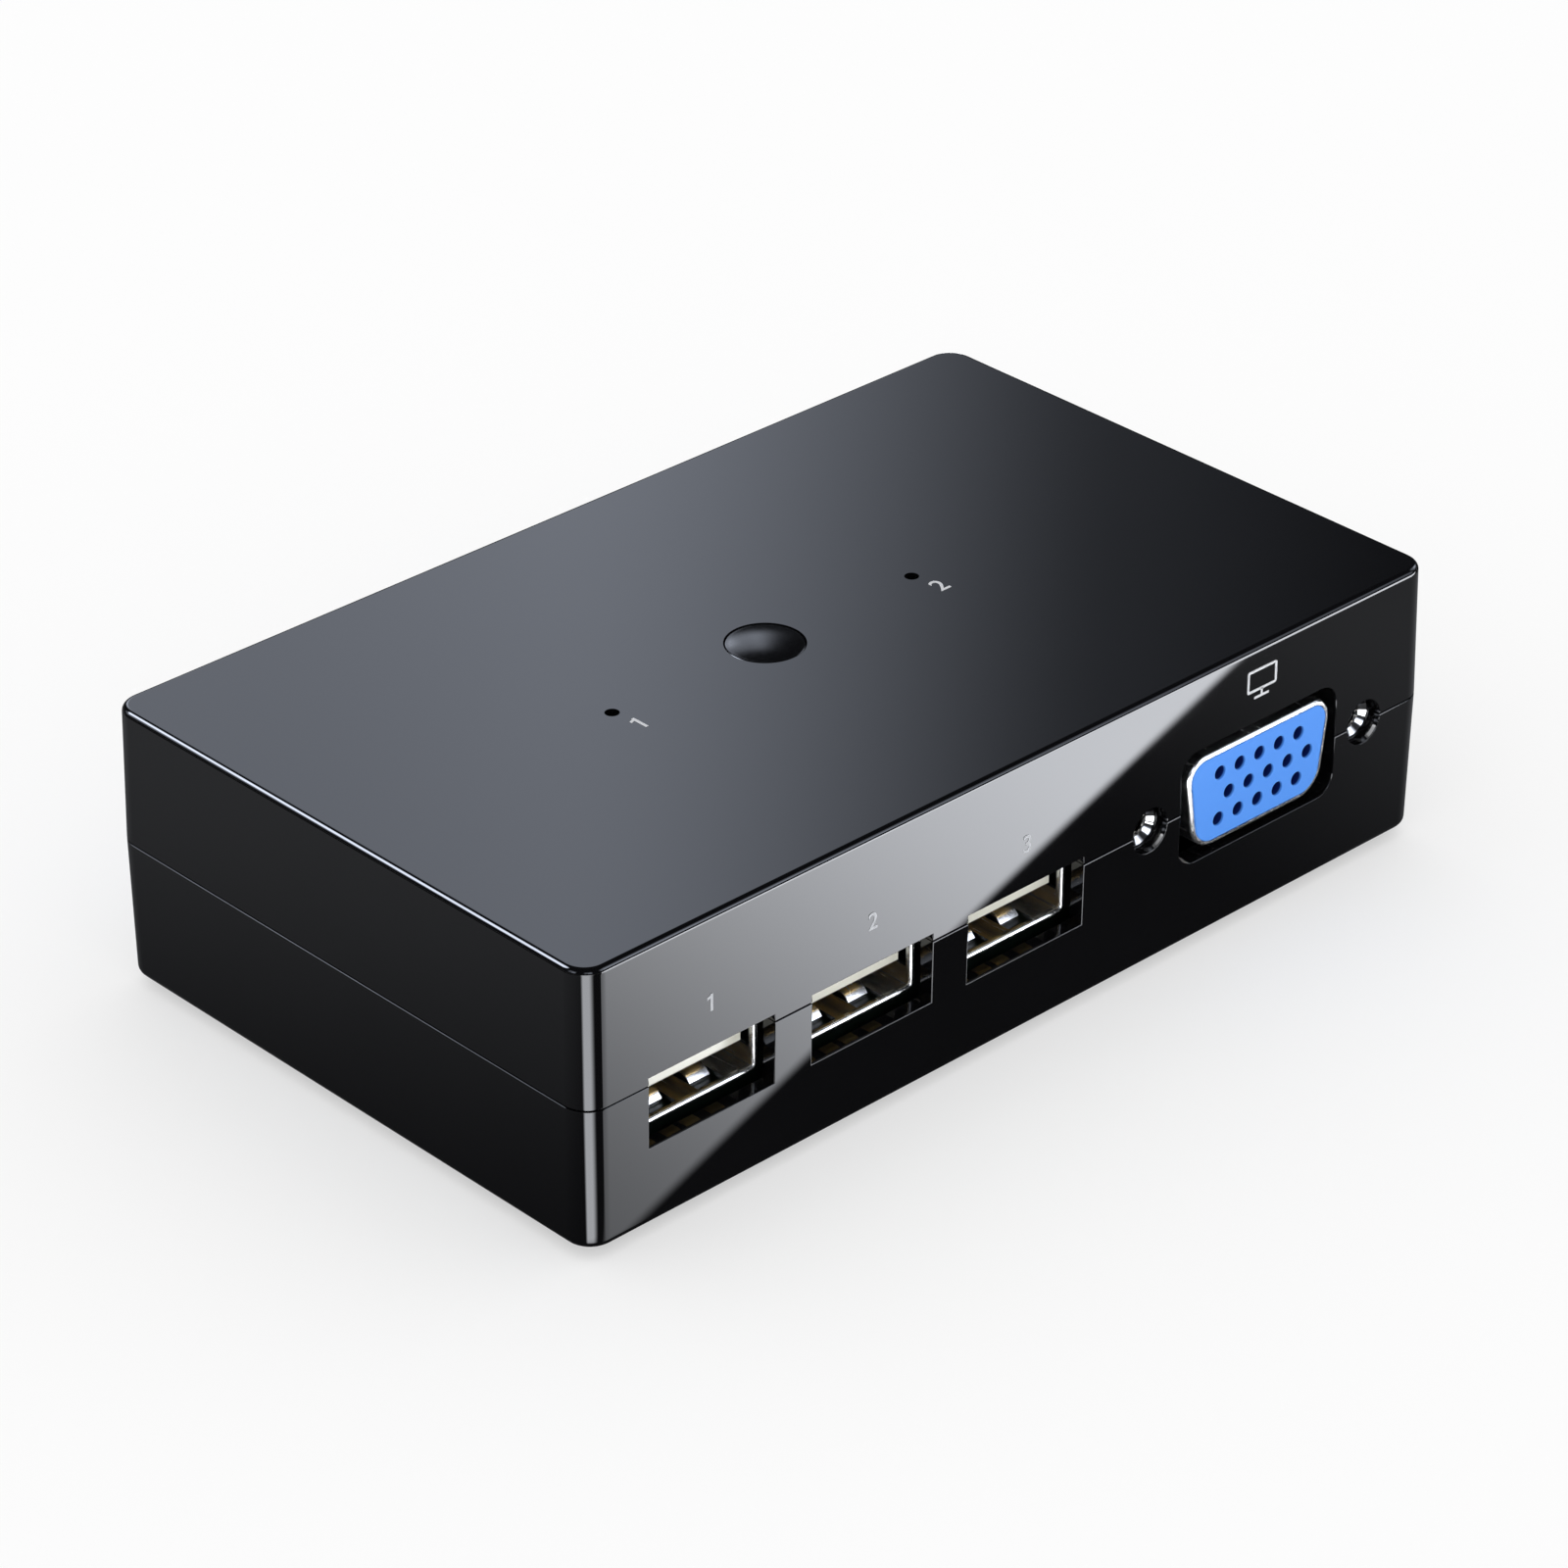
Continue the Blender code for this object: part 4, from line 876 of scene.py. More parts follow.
def usb_a_shade_bed():
    """A black bed for the contacts, under a tongue and down the front of its base: a dark sheet put there
    as painted shade over the cream.
    """
    low, high, centre, _ = spread("usb_a_tongue_1")
    top_z = centre.z + TONGUE_RISE - TONGUE_THICKNESS / 2
    middle_z = top_z - BED_THICKNESS / 2
    base_y = high.y - TONGUE_BASE
    bed = add_slab((centre.x, middle_z), (TONGUE_WIDTH, BED_THICKNESS), low.y + TONGUE_EDGE, base_y)
    rounded(bed, lies_at(Z, top_z - BED_THICKNESS), BED_THICKNESS / 2)
    cover = add_block((low.x, base_y - BED_THICKNESS, low.z), (high.x, base_y, middle_z))
    combine(bed, cover, "UNION")
    return bed


def contact_strip(x, low_z, high_z, start_y, end_y, way, rise, sockets):
    """A contact with its free end, at the front or the back, turned away from the plug."""
    strip = add_block((x - sockets.contact / 2, start_y, low_z), (x + sockets.contact / 2, end_y, high_z))
    with editing(strip):
        pick("FACE", faces(Y, way))
        push(y=way * CONTACT_START / 2, z=rise)
        round_edges(runs_along(X), CONTACT_PROUD / 3)
    return strip


def usb_a_contacts(sockets):
    """Four gold contacts along the bed under a tongue, their front ends turned up."""
    low, high, centre, _ = spread("usb_a_tongue_1")
    bed_z = centre.z + TONGUE_RISE - TONGUE_THICKNESS / 2 - BED_THICKNESS
    ends = (low.y + CONTACT_START, high.y - TONGUE_BASE)
    return join([contact_strip(centre.x + offset, bed_z - CONTACT_PROUD, bed_z + CONTACT_PROUD / 2, *ends,
                               FRONT, CONTACT_PROUD, sockets) for offset in USB_A_CONTACT_X])


class KVM_OT_usb_a_sockets(bpy.types.Operator):
    """Model the three USB-A sockets: folded shells with spring fingers, tongues and contacts"""

    bl_idname = "kvm.usb_a_sockets"
    bl_label = "USB-A Sockets"

    def execute(self, context):
        sockets = context.scene.kvm_sockets
        cream = finish("cream_moulding", sockets.cream, Specular_IOR_Level=TONGUE_SPECULAR)
        black = finish("black_moulding", sockets.black)
        gold = finish("gold_plate", sockets.gold)
        complete_sockets("a", USB_A_COUNT, (
            ("shell", usb_a_shell(sockets), nickel(sockets), "plated_shell"),
            ("tongue", usb_a_tongue(), cream, "cream_insulator"),
            # The black bed is painted shade, a dark sheet under each cream tongue
            ("bed", usb_a_shade_bed(), black, "black_insulator"),
            ("contacts", usb_a_contacts(sockets), gold, "plated_shell")))
        return {"FINISHED"}


# USB-B sockets
USB_B_CORNER = 0.45 * MM
USB_B_MOUTH = mm(8.45, 7.78)
USB_B_MOUTH_CHAMFER = 1.6 * MM
USB_B_MOUTH_DEPTH = 9.2 * MM
USB_B_TONGUE = mm(5.6, 3.18)
USB_B_TONGUE_SETBACK = 1.7 * MM
USB_B_CONTACT_X = mm(-1.25, 1.25)
MOULDED_EDGE = 0.15 * MM


def usb_b_shell(sockets):
    """A square metal tube, closed at the back."""
    low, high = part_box("usb_b_shell_1")
    tube = add_block(low, high)
    with editing(tube):
        round_edges(runs_along(Y), USB_B_CORNER, EDGE_STEPS)
        pick("FACE", faces(Y, BACK))
        inset_push(sockets.sheet, y=low.y - high.y + sockets.sheet)
        round_edges(lies_at(Y, high.y), sockets.rim_edge)
    return tube


def usb_b_insulator():
    """A black block whose mouth has two cut-off upper corners and holds a central tongue."""
    low, high, centre, _ = spread("usb_b_insulator_1")
    mouth_y, front_y = high.y - USB_B_MOUTH_DEPTH, high.y - USB_B_TONGUE_SETBACK
    lengthways = runs_along(Y)
    block = rounded(add_block(low, high), lies_at(Y, high.y), MOULDED_EDGE)
    mouth = add_slab(centre.xz, USB_B_MOUTH, mouth_y, high.y + MM)
    rounded(mouth, lambda edge: lengthways(edge) and edge.verts[0].co.z > centre.z,
            USB_B_MOUTH_CHAMFER, 1)
    combine(block, mouth)
    tongue = add_slab(centre.xz, USB_B_TONGUE, mouth_y - MM, front_y)
    combine(block, rounded(tongue, lies_at(Y, front_y), 2 * MOULDED_EDGE), "UNION")
    return block


def usb_b_contacts(sockets):
    """Two gold contacts above and two below the central tongue."""
    _, high, centre, _ = spread("usb_b_insulator_1")
    ends = (high.y - USB_B_MOUTH_DEPTH, high.y - USB_B_TONGUE_SETBACK - CONTACT_START)
    strips = []
    for offset in USB_B_CONTACT_X:
        for side in (-1, 1):
            z = centre.z + side * USB_B_TONGUE[1] / 2
            strips.append(contact_strip(centre.x + offset, z - CONTACT_PROUD, z + CONTACT_PROUD, *ends,
                                        BACK, -side * CONTACT_PROUD, sockets))
    return join(strips)


class KVM_OT_usb_b_sockets(bpy.types.Operator):
    """Model the two USB-B sockets on the back: shells, insulators and contacts"""

    bl_idname = "kvm.usb_b_sockets"
    bl_label = "USB-B Sockets"

    def execute(self, context):
        sockets = context.scene.kvm_sockets
        black = finish("black_moulding", sockets.black)
        gold = finish("gold_plate", sockets.gold)
        complete_sockets("b", USB_B_COUNT, (
            ("shell", usb_b_shell(sockets), nickel(sockets), "plated_shell"),
            ("insulator", usb_b_insulator(), black, "black_insulator"),
            ("contacts", usb_b_contacts(sockets), gold, "plated_shell")))
        return {"FINISHED"}


# Video sockets: the painted pin shade darkens the blue over depths behind the case's face, the rows'
# places are Z and X
VIDEO_COLLAR = mm(16.4, 8.5)
VIDEO_CORNER = 2.3 * MM
VIDEO_SLANT = radians(8)
VIDEO_FACE = mm(15.5, 7.6)
VIDEO_FACE_CORNER = 1.7 * MM
VIDEO_FACE_EDGE = 0.12 * MM
VIDEO_FLANGE_CORNER = 1.5 * MM
VIDEO_FLANGE = 0.9 * MM
FLANGE_HOLE = 1.6 * MM
PIN_DEPTH = 4.5 * MM
PIN_EDGE = 0.06 * MM
PAINTED_SHADE_DEPTHS = mm(0.03, 0.35)
PIN_PITCH = 2.29 * MM
PIN_ROWS = (mm(2.1, 0.0), mm(0.0, 1.145), mm(-2.1, 0.0))
PINS_IN_ROW = 5
BLUE_SPECULAR = 0.1


def slanted_block(centre, size, corner, front_y, back_y):
    """A block of the video socket's outline, whose sides slant in below."""
    width, height = size
    half_x = width / 2 + corner * ((1 + sin(VIDEO_SLANT)) / cos(VIDEO_SLANT) - 1)
    narrowed = (half_x - height * tan(VIDEO_SLANT)) / half_x
    block = add_slab(centre.xz, (2 * half_x, height), front_y, back_y)
    with editing(block):
        pick("VERT", lambda vertex: vertex.co.z < centre.z)
        bpy.ops.transform.resize(value=(narrowed, 1.0, 1.0), center_override=centre)
        round_edges(runs_along(Y), corner, CORNER_STEPS)
    return block


def video_collar(sockets):
    """A drawn metal collar with a rounded rim, standing on a flange."""
    low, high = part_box("video_out_shell")
    centre = node_centre("video_out_insulator")
    flange_y = high.y - VIDEO_FLANGE
    collar = slanted_block(centre, VIDEO_COLLAR, VIDEO_CORNER, low.y, high.y)
    with editing(collar):
        pick("FACE", faces(Y, FRONT))
        inset_push(sockets.collar_sheet, y=high.y - low.y - sockets.sheet)
        round_edges(outer_rim(Y, low.y, centre), sockets.collar_edge, EDGE_STEPS)
    flange = add_block((low.x, flange_y, low.z), high)
    rounded(flange, runs_along(Y), VIDEO_FLANGE_CORNER, EDGE_STEPS)
    for side in JACK_SIDES:
        jack = node_centre(f"video_out_jack_{side}")
        combine(flange, add_rod(jack, FLANGE_HOLE, Y, flange_y - MM, high.y + MM, SMALL_SIDES))
    combine(collar, flange, "UNION")
    return collar


def video_insulator(sockets):
    """The blue contact block, with three staggered rows of eased pin holes."""
    low, high, centre, _ = spread("video_out_insulator")
    on_face = lies_at(Y, low.y)
    ends = (low.y - MM, low.y + PIN_DEPTH)
    block = slanted_block(centre, VIDEO_FACE, VIDEO_FACE_CORNER, low.y, high.y)
    rounded(block, on_face, VIDEO_FACE_EDGE)
    pins = []
    for row_z, shift in PIN_ROWS:
        for i in range(PINS_IN_ROW):
            x = centre.x + (i - (PINS_IN_ROW - 1) / 2) * PIN_PITCH + shift
            pins.append(add_rod((x, 0.0, centre.z + row_z), sockets.pin_hole, Y, *ends, SMALL_SIDES))
    combine(block, join(pins))

    def at_pin(edge):
        return on_face(edge) and any(abs(face.normal.y) < SQUARE for face in edge.link_faces)

    return rounded(block, at_pin, PIN_EDGE)


def blue_with_painted_pin_shade(sockets):
    """Satin blue plastic with painted shade: its colour darkens by depth down the pin holes."""
    # Painted shade: the tone falls from full blue to the dark shade with depth behind the face
    def tone(tree):
        place = add_node(tree, "TexCoord").outputs["Object"]
        reach = maths(tree, "ABSOLUTE", along(tree, place, (0.0, 1.0, 0.0)))
        return ranged(tree, reach, [FACE_Y[BACK] - depth for depth in reversed(PAINTED_SHADE_DEPTHS)])

    return finish("blue_moulding_painted_shade", sockets.blue, dark=sockets.painted_pin_shade, tone_of=tone,
                  Specular_IOR_Level=BLUE_SPECULAR)


def video_copy(piece, first, node, way):
    """A copy of the piece at one node of the front for another node, turned if that is behind."""
    here, there = node_centre(first).x, node_centre(node).x
    return copy_of(piece, (there + way * here, 0.0, 0.0), way == BACK)


class KVM_OT_video_sockets(bpy.types.Operator):
    """Model the three video sockets: metal collars and blue pin blocks"""

    bl_idname = "kvm.video_sockets"
    bl_label = "Video Sockets"

    def execute(self, context):
        sockets = context.scene.kvm_sockets
        blue = blue_with_painted_pin_shade(sockets)
        kinds = (("shell", "collar", video_collar(sockets), nickel(sockets), "plated_shell"),
                 ("insulator", "pins", video_insulator(sockets), blue, "blue_insulator"))
        for kind, label, model, material, slot in kinds:
            for socket, way in VIDEO_SOCKETS[1:]:
                copy = video_copy(model, "video_out_insulator", f"{socket}_insulator", way)
                complete(copy, f"{socket}_{label}", material, slot, [f"{socket}_{kind}"])
            complete(model, f"video_out_{label}", material, slot, [f"video_out_{kind}"])
        return {"FINISHED"}


# Jack nuts: depths are behind the case's face
JACK_NOSE = 1.9 * MM
JACK_NOSE_DEPTH = 1.3 * MM
JACK_EDGE = 0.06 * MM
JACK_HEX_EDGE = 0.3 * MM
JACK_BORE = 1.35 * MM
JACK_COUNTERSINK = 0.45 * MM
JACK_SHOULDER = 2.1 * MM
JACK_THREAD_PITCH = 0.6 * MM
JACK_THREAD = 0.12 * MM
HEX_SIDES = 6


def jack_nut():
    """A threaded nut: turned nose with an eased edge, countersunk bore, hexagon behind."""
    low, high, centre, half_x = spread("video_out_jack_left")
    face_y = FACE_Y[FRONT]
    back = high.y - face_y
    bore_start = JACK_NOSE_DEPTH + JACK_COUNTERSINK
    profile = [(JACK_BORE, bore_start), (JACK_BORE + JACK_COUNTERSINK, JACK_NOSE_DEPTH)]
    profile += arc((JACK_NOSE - JACK_EDGE, JACK_NOSE_DEPTH + JACK_EDGE), JACK_EDGE, -90, 0)
    profile += [(JACK_NOSE, back), (JACK_BORE, back)]
    depth = back - JACK_THREAD_PITCH
    while depth > bore_start + JACK_THREAD_PITCH:
        profile += [(JACK_BORE + JACK_THREAD, depth), (JACK_BORE, depth - JACK_THREAD_PITCH / 2)]
        depth -= JACK_THREAD_PITCH
    profile.append(profile[0])
    nose = turn_profile(profile, centre, Y, face_y)
    hex_radius = min(half_x, (high.z - low.z) / 2) / cos(pi / HEX_SIDES)
    shoulder_y = face_y + JACK_SHOULDER
    hexagon = add_rod(centre, hex_radius, Y, shoulder_y, high.y, HEX_SIDES)
    rounded(hexagon, lies_at(Y, shoulder_y), JACK_HEX_EDGE)
    combine(hexagon, add_rod(centre, JACK_NOSE - JACK_EDGE, Y, face_y, high.y + MM))
    return join([nose, hexagon])


class KVM_OT_jack_nuts(bpy.types.Operator):
    """Model the six threaded jack nuts beside the video sockets"""

    bl_idname = "kvm.jack_nuts"
    bl_label = "Jack Nuts"

    def execute(self, context):
        chrome = finish("chrome_nut", context.scene.kvm_sockets.nickel)
        nut = jack_nut()
        (first, _), *others = [(f"{socket}_jack_{side}", way) for socket, way in VIDEO_SOCKETS
                               for side in JACK_SIDES]
        for node, way in others:
            copy = video_copy(nut, first, node, way)
            complete(copy, f"{node}_nut", chrome, "plated_shell", [node])
        complete(nut, f"{first}_nut", chrome, "plated_shell", [first])
        return {"FINISHED"}


# Printed marks: the flag of a 1, and the type's size, are in shares of its height
INK_THICKNESS = 0.03 * MM
INK_BOLD = 0.02 * MM
TYPE_SIZE = 1.4
TOP_MARK_HEIGHT = 1.75 * MM
TOP_MARK_Y = -3.1 * MM
TOP_MARK_SHIFT = 0.5 * MM
FLAG_REACH = 0.22
FLAG_DROP = 0.14
PORT_MARK_HEIGHT = 1.5 * MM
PORT_MARK_Z = 17.7 * MM
SCREEN_SIGN_Z = 22.2 * MM
SCREEN_SIGN = mm(3.4, 2.0)
SCREEN_LINE = 0.22 * MM
SIGN_STEM = 2.5 * SCREEN_LINE
SIGN_STEM_DROP = 0.75 * SCREEN_LINE
SIGN_FOOT_DROP = 2.5 * SCREEN_LINE


def printed_number(digit, height):
    """A flat digit of ink, standing on the origin's XY plane, as a mesh."""
    deselect_all()
    bpy.ops.object.text_add()
    text = bpy.context.object.data
    text.body = digit
    text.align_x = text.align_y = "CENTER"
    text.size = height * TYPE_SIZE
    text.extrude = INK_THICKNESS / 2
    text.offset = INK_BOLD
    bpy.ops.object.convert(target="MESH")
    number = bpy.context.object
    return with_flag(number, height) if digit == "1" else number


def with_flag(number, height):
    """Give a plain upright stroke the flag of a 1."""
    corners = [vertex.co for vertex in number.data.vertices]
    left, right = min(corner.x for corner in corners), max(corner.x for corner in corners)
    top = max(corner.y for corner in corners)
    reach = FLAG_REACH * height
    flag = add_block((left - reach, top - (right - left), -INK_THICKNESS / 2),
                     (right - NEAR, top - NEAR, INK_THICKNESS / 2 - NEAR / 2))
    with editing(flag):
        pick("VERT", lambda vertex: vertex.co.x < left - reach / 2)
        bpy.ops.transform.translate(value=(0.0, -FLAG_DROP * height, 0.0))
    return join([number, flag])


def front_y_at(z, case):
    """Where the drafted front wall of the upper shell is at a height."""
    seam_z = TRAY_HIGH.z - case.lip_height
    return FACE_Y[FRONT] + case.roof_draft * (z - seam_z) / (COVER_TOP - seam_z)


def screen_sign(case):
    """A screen's outline on a short foot."""
    x = node_centre("video_out_insulator").x
    width, height = SCREEN_SIGN
    low_y = front_y_at(SCREEN_SIGN_Z - height, case) - INK_THICKNESS / 2
    ends = (low_y, low_y + 2 * INK_THICKNESS)
    outline = rounded(add_slab((x, SCREEN_SIGN_Z), SCREEN_SIGN, *ends), runs_along(Y), SCREEN_LINE)
    inner = [size - 2 * SCREEN_LINE for size in SCREEN_SIGN]
    combine(outline, add_slab((x, SCREEN_SIGN_Z), inner, ends[0] - MM, ends[1] + MM))
    foot_z = SCREEN_SIGN_Z - height / 2
    stem = add_slab((x, foot_z - SIGN_STEM_DROP), (SCREEN_LINE, SIGN_STEM), *ends)
    foot = add_slab((x, foot_z - SIGN_FOOT_DROP), (width / 2, SCREEN_LINE), *ends)
    return join([outline, stem, foot])


class KVM_OT_marks(bpy.types.Operator):
    """Print plain numbers by the lights and the sockets, and a plain screen sign"""

    bl_idname = "kvm.marks"
    bl_label = "Printed Marks"

    def execute(self, context):
        case = context.scene.kvm_case
        ink, port_ink = finish("pale_ink", case.ink), finish("port_ink", case.port_ink)
        for i, node in enumerate(LIGHT_NODES):
            mark = printed_number(str(i + 1), TOP_MARK_HEIGHT)
            mark.location = (node_centre(node).x + TOP_MARK_SHIFT, TOP_MARK_Y,
                             COVER_TOP + INK_THICKNESS / 4)
            complete(mark, f"light_number_{i + 1}", ink, "case")
        for i in range(USB_A_COUNT):
            mark = printed_number(str(i + 1), PORT_MARK_HEIGHT)
            mark.rotation_euler.x = pi / 2
            mark.location = (node_centre(f"usb_a_shell_{i + 1}").x,
                             front_y_at(PORT_MARK_Z, case) - INK_THICKNESS / 4, PORT_MARK_Z)
            complete(mark, f"port_number_{i + 1}", port_ink, "case")
        complete(screen_sign(case), "screen_sign", ink, "case")
        return {"FINISHED"}


# Pieces inside the case: colour, or none for the sockets' black, and nodes of each finish
INSIDE = {
    "black_moulding": (None, ("switch_base", "switch_plunger", "video_out_housing",
                              "video_in_1_housing", "video_in_2_housing")),
    "chip_epoxy": ((0.02, 0.02, 0.022), ("video_switch_chip", "usb_hub_chip", "controller_chip",
                                         "voltage_regulator")),
    "dark_board": ((0.002, 0.009, 0.005), ("circuit_board",)),
    "aluminium_can": ((0.72, 0.73, 0.74), ("switch_cover", "crystal", "capacitor_1", "capacitor_2")),
    "led_resin": ((0.85, 0.83, 0.60), ("status_led_1", "status_led_2")),
}


class KVM_OT_inside(bpy.types.Operator):
    """Give the pieces inside the case their finishes"""

    bl_idname = "kvm.inside"
    bl_label = "Inside Pieces"

    def execute(self, context):
        for name, (colour, nodes) in INSIDE.items():
            material = finish(name, colour or context.scene.kvm_sockets.black)
            for node in nodes:
                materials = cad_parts[node].data.materials
                materials.clear()
                materials.append(material)
        return {"FINISHED"}


# Camera and stage
CAMERA_PLACE = mm(-271.29, -286.86, 241.60)
CAMERA_AIM = Vector((0.59338, 0.62758, -0.50403))
CAMERA_PLAN = Vector((CAMERA_AIM.x, CAMERA_AIM.y, 0.0))
SENSOR = 36.0
CLIP_START = 10.0 * MM
FLOOR_SIZE = 4.0
LAMP_HEIGHT = 1.4
LAMP_SIZE = 1.6
TENT_RADIUS = 2.0
TENT_SEGMENTS, TENT_RINGS = 64, 32
TENT_DARK = 0.03
GLOSS_HIDDEN = ("camera", "diffuse", "transmission", "volume_scatter", "shadow")

# Lights in the tent fade in above the horizon, in degrees
TENT_FOOT = (11.0, 26.0)

# Windows round the tent, one every sixth of a turn: fades in degrees from the camera's line
# and above the horizon, the opening ones with their shares of the light
WINDOW_TURN = 60.0
WINDOW_OPENS = ((-4.7, 3.5, 0.85), (-10.0, -1.0, 0.15), (2.0, 8.0, -0.13))
WINDOW_CORE = (9.0, 15.0)
WINDOW_CORE_HEAD = (30.0, 36.0)
WINDOW_CORE_GAIN = 1.2
WINDOW_CLOSES = (22.0, 30.0)
WINDOW_HEAD = (37.0, 46.0)

# Soft boxes in the tent: direction from the object, and off it, in degrees, where their light is
# full and where it ends
KEY_BOX = ((-0.37, 0.61, 0.70), (9.0, 17.0))
SIDE_BOX = ((0.59, -0.75, 0.42), (16.0, 26.0))

# Card on the floor. Its dark ground rises and falls again towards both sides. A bright stretch lies
# beyond a line in front, and mirrored behind. It starts where the case's near corner mirrors it, at a
# turn of the corner's normal from the front in degrees. A bright strip in front of the corner lies
# between two such turns.
CARD_SIZE = 1.2
CARD_LIFT = 0.2 * MM
CARD_BLUR = 0.6 * MM
CARD_DARK = (0.035, 0.28)
CARD_DARK_REACH = mm(25.0, 75.0)
CARD_DARK_END = mm(82.0, 115.0)
CARD_LEFT = (-0.78, 0.27, 0.0)
STRETCH_LINE = (Vector(mm(-36.7, -29.9, 0.0)), Vector(mm(38.2, -53.0, 0.0)))
STRETCH_TURN = 13.0
STRETCH_REACH = mm(-50.0, 42.0)
STRETCH_START = 0.16
STRETCH_FAR = mm(70.0, 140.0)
STRETCH_FAR_GAIN = 1.6
STRETCH_GAP = mm(28.4, 29.2)
FRONT_STRETCH_END = mm(-1.0, 1.0)
BACK_STRETCH = mm(-10.0, -6.0)
BACK_STRETCH_END = mm(65.0, 85.0)
STRIP_TURNS = (30.0, 49.0)
STRIP_RISE = (9.0, 31.0)
STRIP_FALL = (49.0, 60.0)
STRIP_GAP = mm(0.6, 2.4)


def glow_material(name, colour, strength_of):
    """A light-giving cloth or card whose brightness is worked out from Object coordinates."""
    material = bpy.data.materials.new(name)
    material.use_nodes = True
    tree = material.node_tree
    tree.nodes.clear()
    strength = strength_of(tree, add_node(tree, "TexCoord").outputs["Object"])
    glow = add_node(tree, "Emission", Color=(*colour, 1.0), Strength=strength)
    add_node(tree, "OutputMaterial", Surface=glow.outputs["Emission"])
    return material


def set_up(prop, name, material, hidden=()):
    """Name a piece of the stage, give it its material, and hide it from some kinds of ray."""
    prop.name = name
    prop.data.materials.append(material)
    for kind in hidden:
        setattr(prop, f"visible_{kind}", False)


def beyond(tree, place, start, end):
    """1 on the right hand of a line on the floor from start to end, and 0 on its left."""
    run = (end - start).normalized()
    across = Vector((run.y, -run.x, 0.0))
    reach = across.dot(start)
    return eased(tree, along(tree, place, across), (reach - CARD_BLUR, reach + CARD_BLUR))


def corner_ray(turn, radius):
    """Two places in plan on the way that the view takes, mirrored in the case's near corner."""
    normal = Vector((-sin(radians(turn)), -cos(radians(turn)), 0.0))
    start = Vector((TRAY_LOW.x + radius, TRAY_LOW.y + radius, 0.0)) + radius * normal
    return start, start + CAMERA_PLAN.reflect(normal)


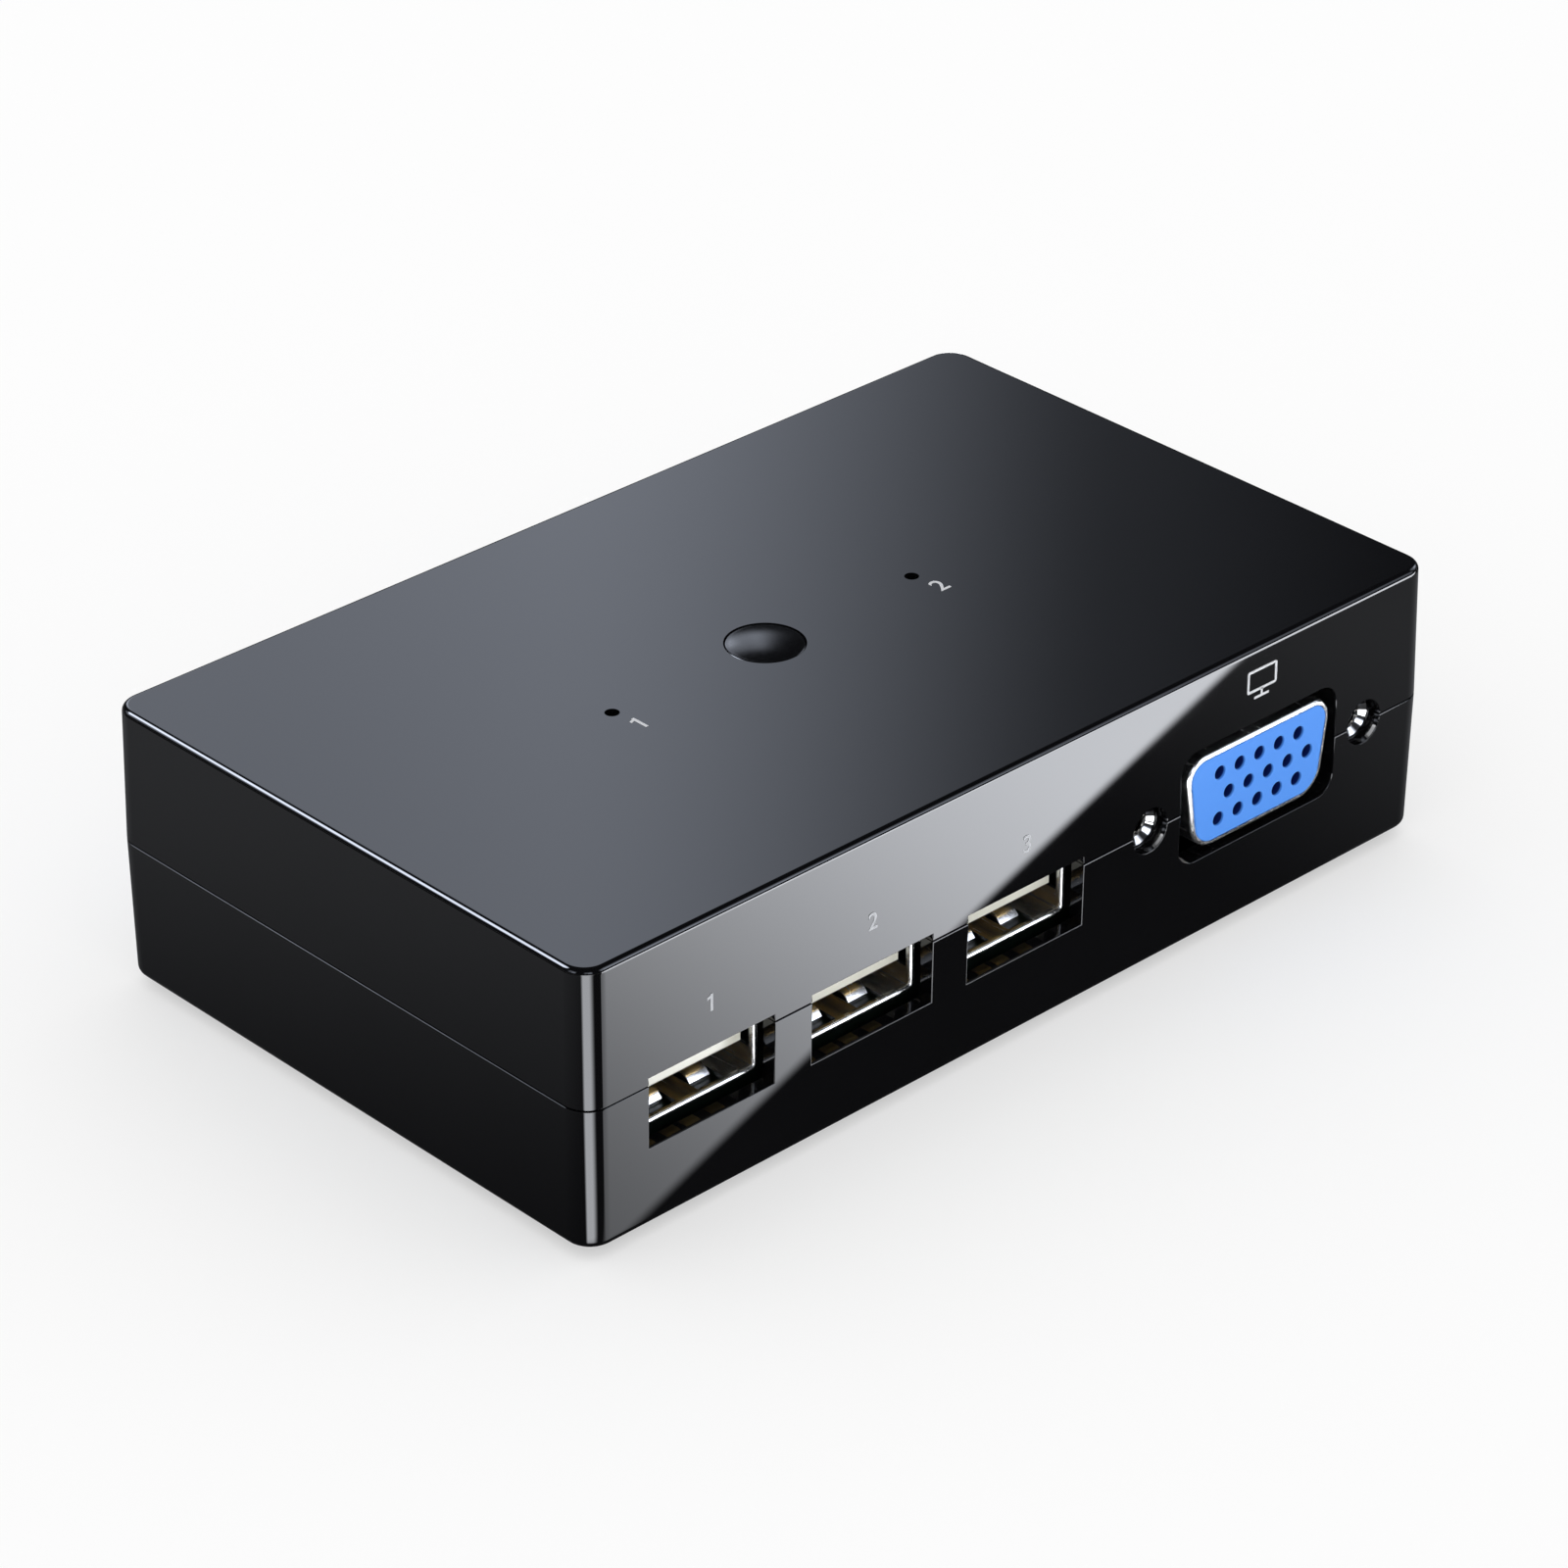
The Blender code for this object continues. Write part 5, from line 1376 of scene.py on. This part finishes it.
class KVM_OT_stage(bpy.types.Operator):
    """Set the camera, the light-table floor, the tent and card for reflections, and the light"""

    bl_idname = "kvm.stage"
    bl_label = "Stage"

    def execute(self, context):
        stage = context.scene.kvm_stage
        self.add_camera(context, stage)
        self.add_floor(stage)
        self.add_tent(stage)
        self.add_card(stage, context.scene.kvm_case.corner)
        self.add_lamp(stage)
        self.add_world(context, stage)
        context.scene.view_settings.view_transform = "Standard"
        return {"FINISHED"}

    def add_camera(self, context, stage):
        """The camera at the photograph's viewing angle."""
        deselect_all()
        turn = CAMERA_AIM.to_track_quat("-Z", "Y").to_euler()
        bpy.ops.object.camera_add(location=CAMERA_PLACE, rotation=turn)
        camera = bpy.context.object
        camera.name = "photo_camera"
        camera.data.lens = stage.lens
        camera.data.sensor_width = SENSOR
        camera.data.clip_start = CLIP_START
        context.scene.camera = camera

    def add_floor(self, stage):
        """A plain pale light-table floor."""
        deselect_all()
        bpy.ops.mesh.primitive_plane_add(size=FLOOR_SIZE)
        table = finish("light_table", stage.floor_tone, Specular_IOR_Level=0.0, Emission_Color=WHITE,
                       Emission_Strength=stage.table_glow)
        set_up(bpy.context.object, "pale_floor", table)

    def add_lamp(self, stage):
        """A large soft lamp overhead."""
        deselect_all()
        bpy.ops.object.light_add(type="AREA", location=(0.0, 0.0, LAMP_HEIGHT))
        lamp = bpy.context.object
        lamp.name = "soft_lamp"
        lamp.visible_camera = False
        lamp.visible_glossy = False
        lamp.data.size = LAMP_SIZE
        lamp.data.energy = stage.lamp_level * pi * LAMP_SIZE ** 2

    def add_world(self, context, stage):
        """Plain white surroundings."""
        world = bpy.data.worlds.new("white_surroundings")
        world.use_nodes = True
        background = world.node_tree.nodes["Background"]
        background.inputs["Color"].default_value = WHITE
        background.inputs["Strength"].default_value = stage.world_level
        context.scene.world = world

    def add_tent(self, stage):
        """A dark tent for reflections, with windows all round and two soft boxes."""
        deselect_all()
        bpy.ops.mesh.primitive_uv_sphere_add(
            segments=TENT_SEGMENTS, ring_count=TENT_RINGS, radius=TENT_RADIUS)
        tent = bpy.context.object
        ahead = CAMERA_PLAN.normalized()
        left = UP.cross(ahead)
        half_turn = radians(WINDOW_TURN / 2)
        boxes = ((*KEY_BOX, stage.key_level), (*SIDE_BOX, stage.side_level))

        def strength(tree, place):
            turn = maths(tree, "ARCTAN2", along(tree, place, left), along(tree, place, ahead))
            turn = maths(tree, "WRAP", turn, half_turn, -half_turn)
            height = maths(tree, "ARCSINE", along(tree, place, UP / TENT_RADIUS))
            opened = [faded(tree, turn, span, 0.0, share) for *span, share in WINDOW_OPENS]
            opened.append(maths(tree, "MULTIPLY", faded(tree, turn, WINDOW_CORE, 0.0, WINDOW_CORE_GAIN),
                                faded(tree, height, WINDOW_CORE_HEAD, 1.0, 0.0)))
            lights = [folded(tree, "MULTIPLY", [
                folded(tree, "ADD", opened),
                faded(tree, turn, WINDOW_CLOSES, stage.tent_level, 0.0),
                faded(tree, height, WINDOW_HEAD, 1.0, 0.0)])]
            for direction, span, brightness in boxes:
                towards = Vector(direction).normalized() / TENT_RADIUS
                off = maths(tree, "ARCCOSINE", along(tree, place, towards))
                lights.append(faded(tree, off, span, brightness, 0.0))
            foot = faded(tree, height, TENT_FOOT)
            return maths(tree, "MULTIPLY_ADD", folded(tree, "ADD", lights), foot, TENT_DARK)

        set_up(tent, "studio_tent", glow_material("tent_cloth", stage.tent_tint, strength), GLOSS_HIDDEN)

    def add_card(self, stage, corner):
        """A dark card for reflections, with a bright stretch in front and behind, and a strip."""
        deselect_all()
        bpy.ops.mesh.primitive_plane_add(size=CARD_SIZE, location=(0.0, 0.0, CARD_LIFT))
        card = settle()
        left_ray = corner_ray(STRETCH_TURN, corner)
        strip_rays = [corner_ray(turn, corner) for turn in STRIP_TURNS]
        apex = intersect_line_line(*strip_rays[0], *strip_rays[1])[0]
        corner_way = Vector((-1.0, -1.0, 0.0)).normalized()
        corner_reach = corner_way.dot(Vector((TRAY_LOW.x + corner, TRAY_LOW.y + corner, 0.0))) + corner

        def strength(tree, place):
            across, back = along(tree, place, (1.0, 0.0, 0.0)), along(tree, place, (0.0, 1.0, 0.0))
            away = maths(tree, "ABSOLUTE", back)
            side = maths(tree, "MAXIMUM", across, along(tree, place, CARD_LEFT))
            dark = maths(tree, "MULTIPLY", eased(tree, side, CARD_DARK_REACH, *CARD_DARK),
                         eased(tree, side, CARD_DARK_END, 1.0, CARD_DARK[0]))
            mirrored = add_node(tree, "CombineXYZ", X=across, Y=maths(tree, "MULTIPLY", away, -1.0))
            front = mirrored.outputs["Vector"]
            behind = maths(tree, "MULTIPLY", ranged(tree, across, BACK_STRETCH),
                           eased(tree, away, BACK_STRETCH_END, 1.0, 0.0))
            stretch = folded(tree, "MULTIPLY", [
                beyond(tree, front, *STRETCH_LINE),
                beyond(tree, front, *reversed(left_ray)),
                eased(tree, away, STRETCH_GAP),
                maths(tree, "MAXIMUM", ranged(tree, back, FRONT_STRETCH_END, 1.0, 0.0), behind),
                eased(tree, away, STRETCH_FAR, 1.0, STRETCH_FAR_GAIN),
                eased(tree, across, STRETCH_REACH, STRETCH_START * stage.card_level, stage.card_level)])
            turn = maths(tree, "ARCTAN2", maths(tree, "SUBTRACT", apex.x, across),
                         maths(tree, "SUBTRACT", apex.y, back))
            out = maths(tree, "SUBTRACT", along(tree, place, corner_way), corner_reach)
            strip = folded(tree, "MULTIPLY", [
                faded(tree, turn, STRIP_RISE, 0.0, stage.strip_level),
                faded(tree, turn, STRIP_FALL, 1.0, 0.0),
                eased(tree, out, STRIP_GAP)])
            return folded(tree, "ADD", [dark, stretch, strip])

        set_up(card, "floor_card", glow_material("floor_card", stage.card_tint, strength), GLOSS_HIDDEN)


class KVM_PT_panel(bpy.types.Panel):
    """The pieces and the stage, in the order in which they are made"""

    bl_idname = "KVM_PT_panel"
    bl_label = "KVM Switch"
    bl_space_type = "VIEW_3D"
    bl_region_type = "UI"
    bl_category = "KVM Switch"

    def draw(self, context):
        for operator in OPERATORS:
            self.layout.operator(operator.bl_idname)


OPERATORS = (
    KVM_OT_upper_shell, KVM_OT_lower_shell, KVM_OT_case_screws, KVM_OT_feet, KVM_OT_select_button,
    KVM_OT_light_pipes, KVM_OT_usb_a_sockets, KVM_OT_usb_b_sockets, KVM_OT_video_sockets,
    KVM_OT_jack_nuts, KVM_OT_marks, KVM_OT_inside, KVM_OT_stage,
)
SETTINGS = {
    "kvm_case": KvmCaseSettings, "kvm_sockets": KvmSocketSettings, "kvm_stage": KvmStageSettings,
}


def register():
    """Register the settings, operators and panel."""
    for name, group in SETTINGS.items():
        bpy.utils.register_class(group)
        setattr(bpy.types.Scene, name, bpy.props.PointerProperty(type=group))
    for kind in (*OPERATORS, KVM_PT_panel):
        bpy.utils.register_class(kind)


def unregister():
    """Take the panel, operators and settings away again."""
    for kind in (KVM_PT_panel, *reversed(OPERATORS)):
        bpy.utils.unregister_class(kind)
    for name, group in SETTINGS.items():
        delattr(bpy.types.Scene, name)
        bpy.utils.unregister_class(group)


def main():
    """Make every piece and the stage."""
    register()
    for operator in OPERATORS:
        group, name = operator.bl_idname.split(".")
        getattr(getattr(bpy.ops, group), name)()


if __name__ == "__main__":
    main()
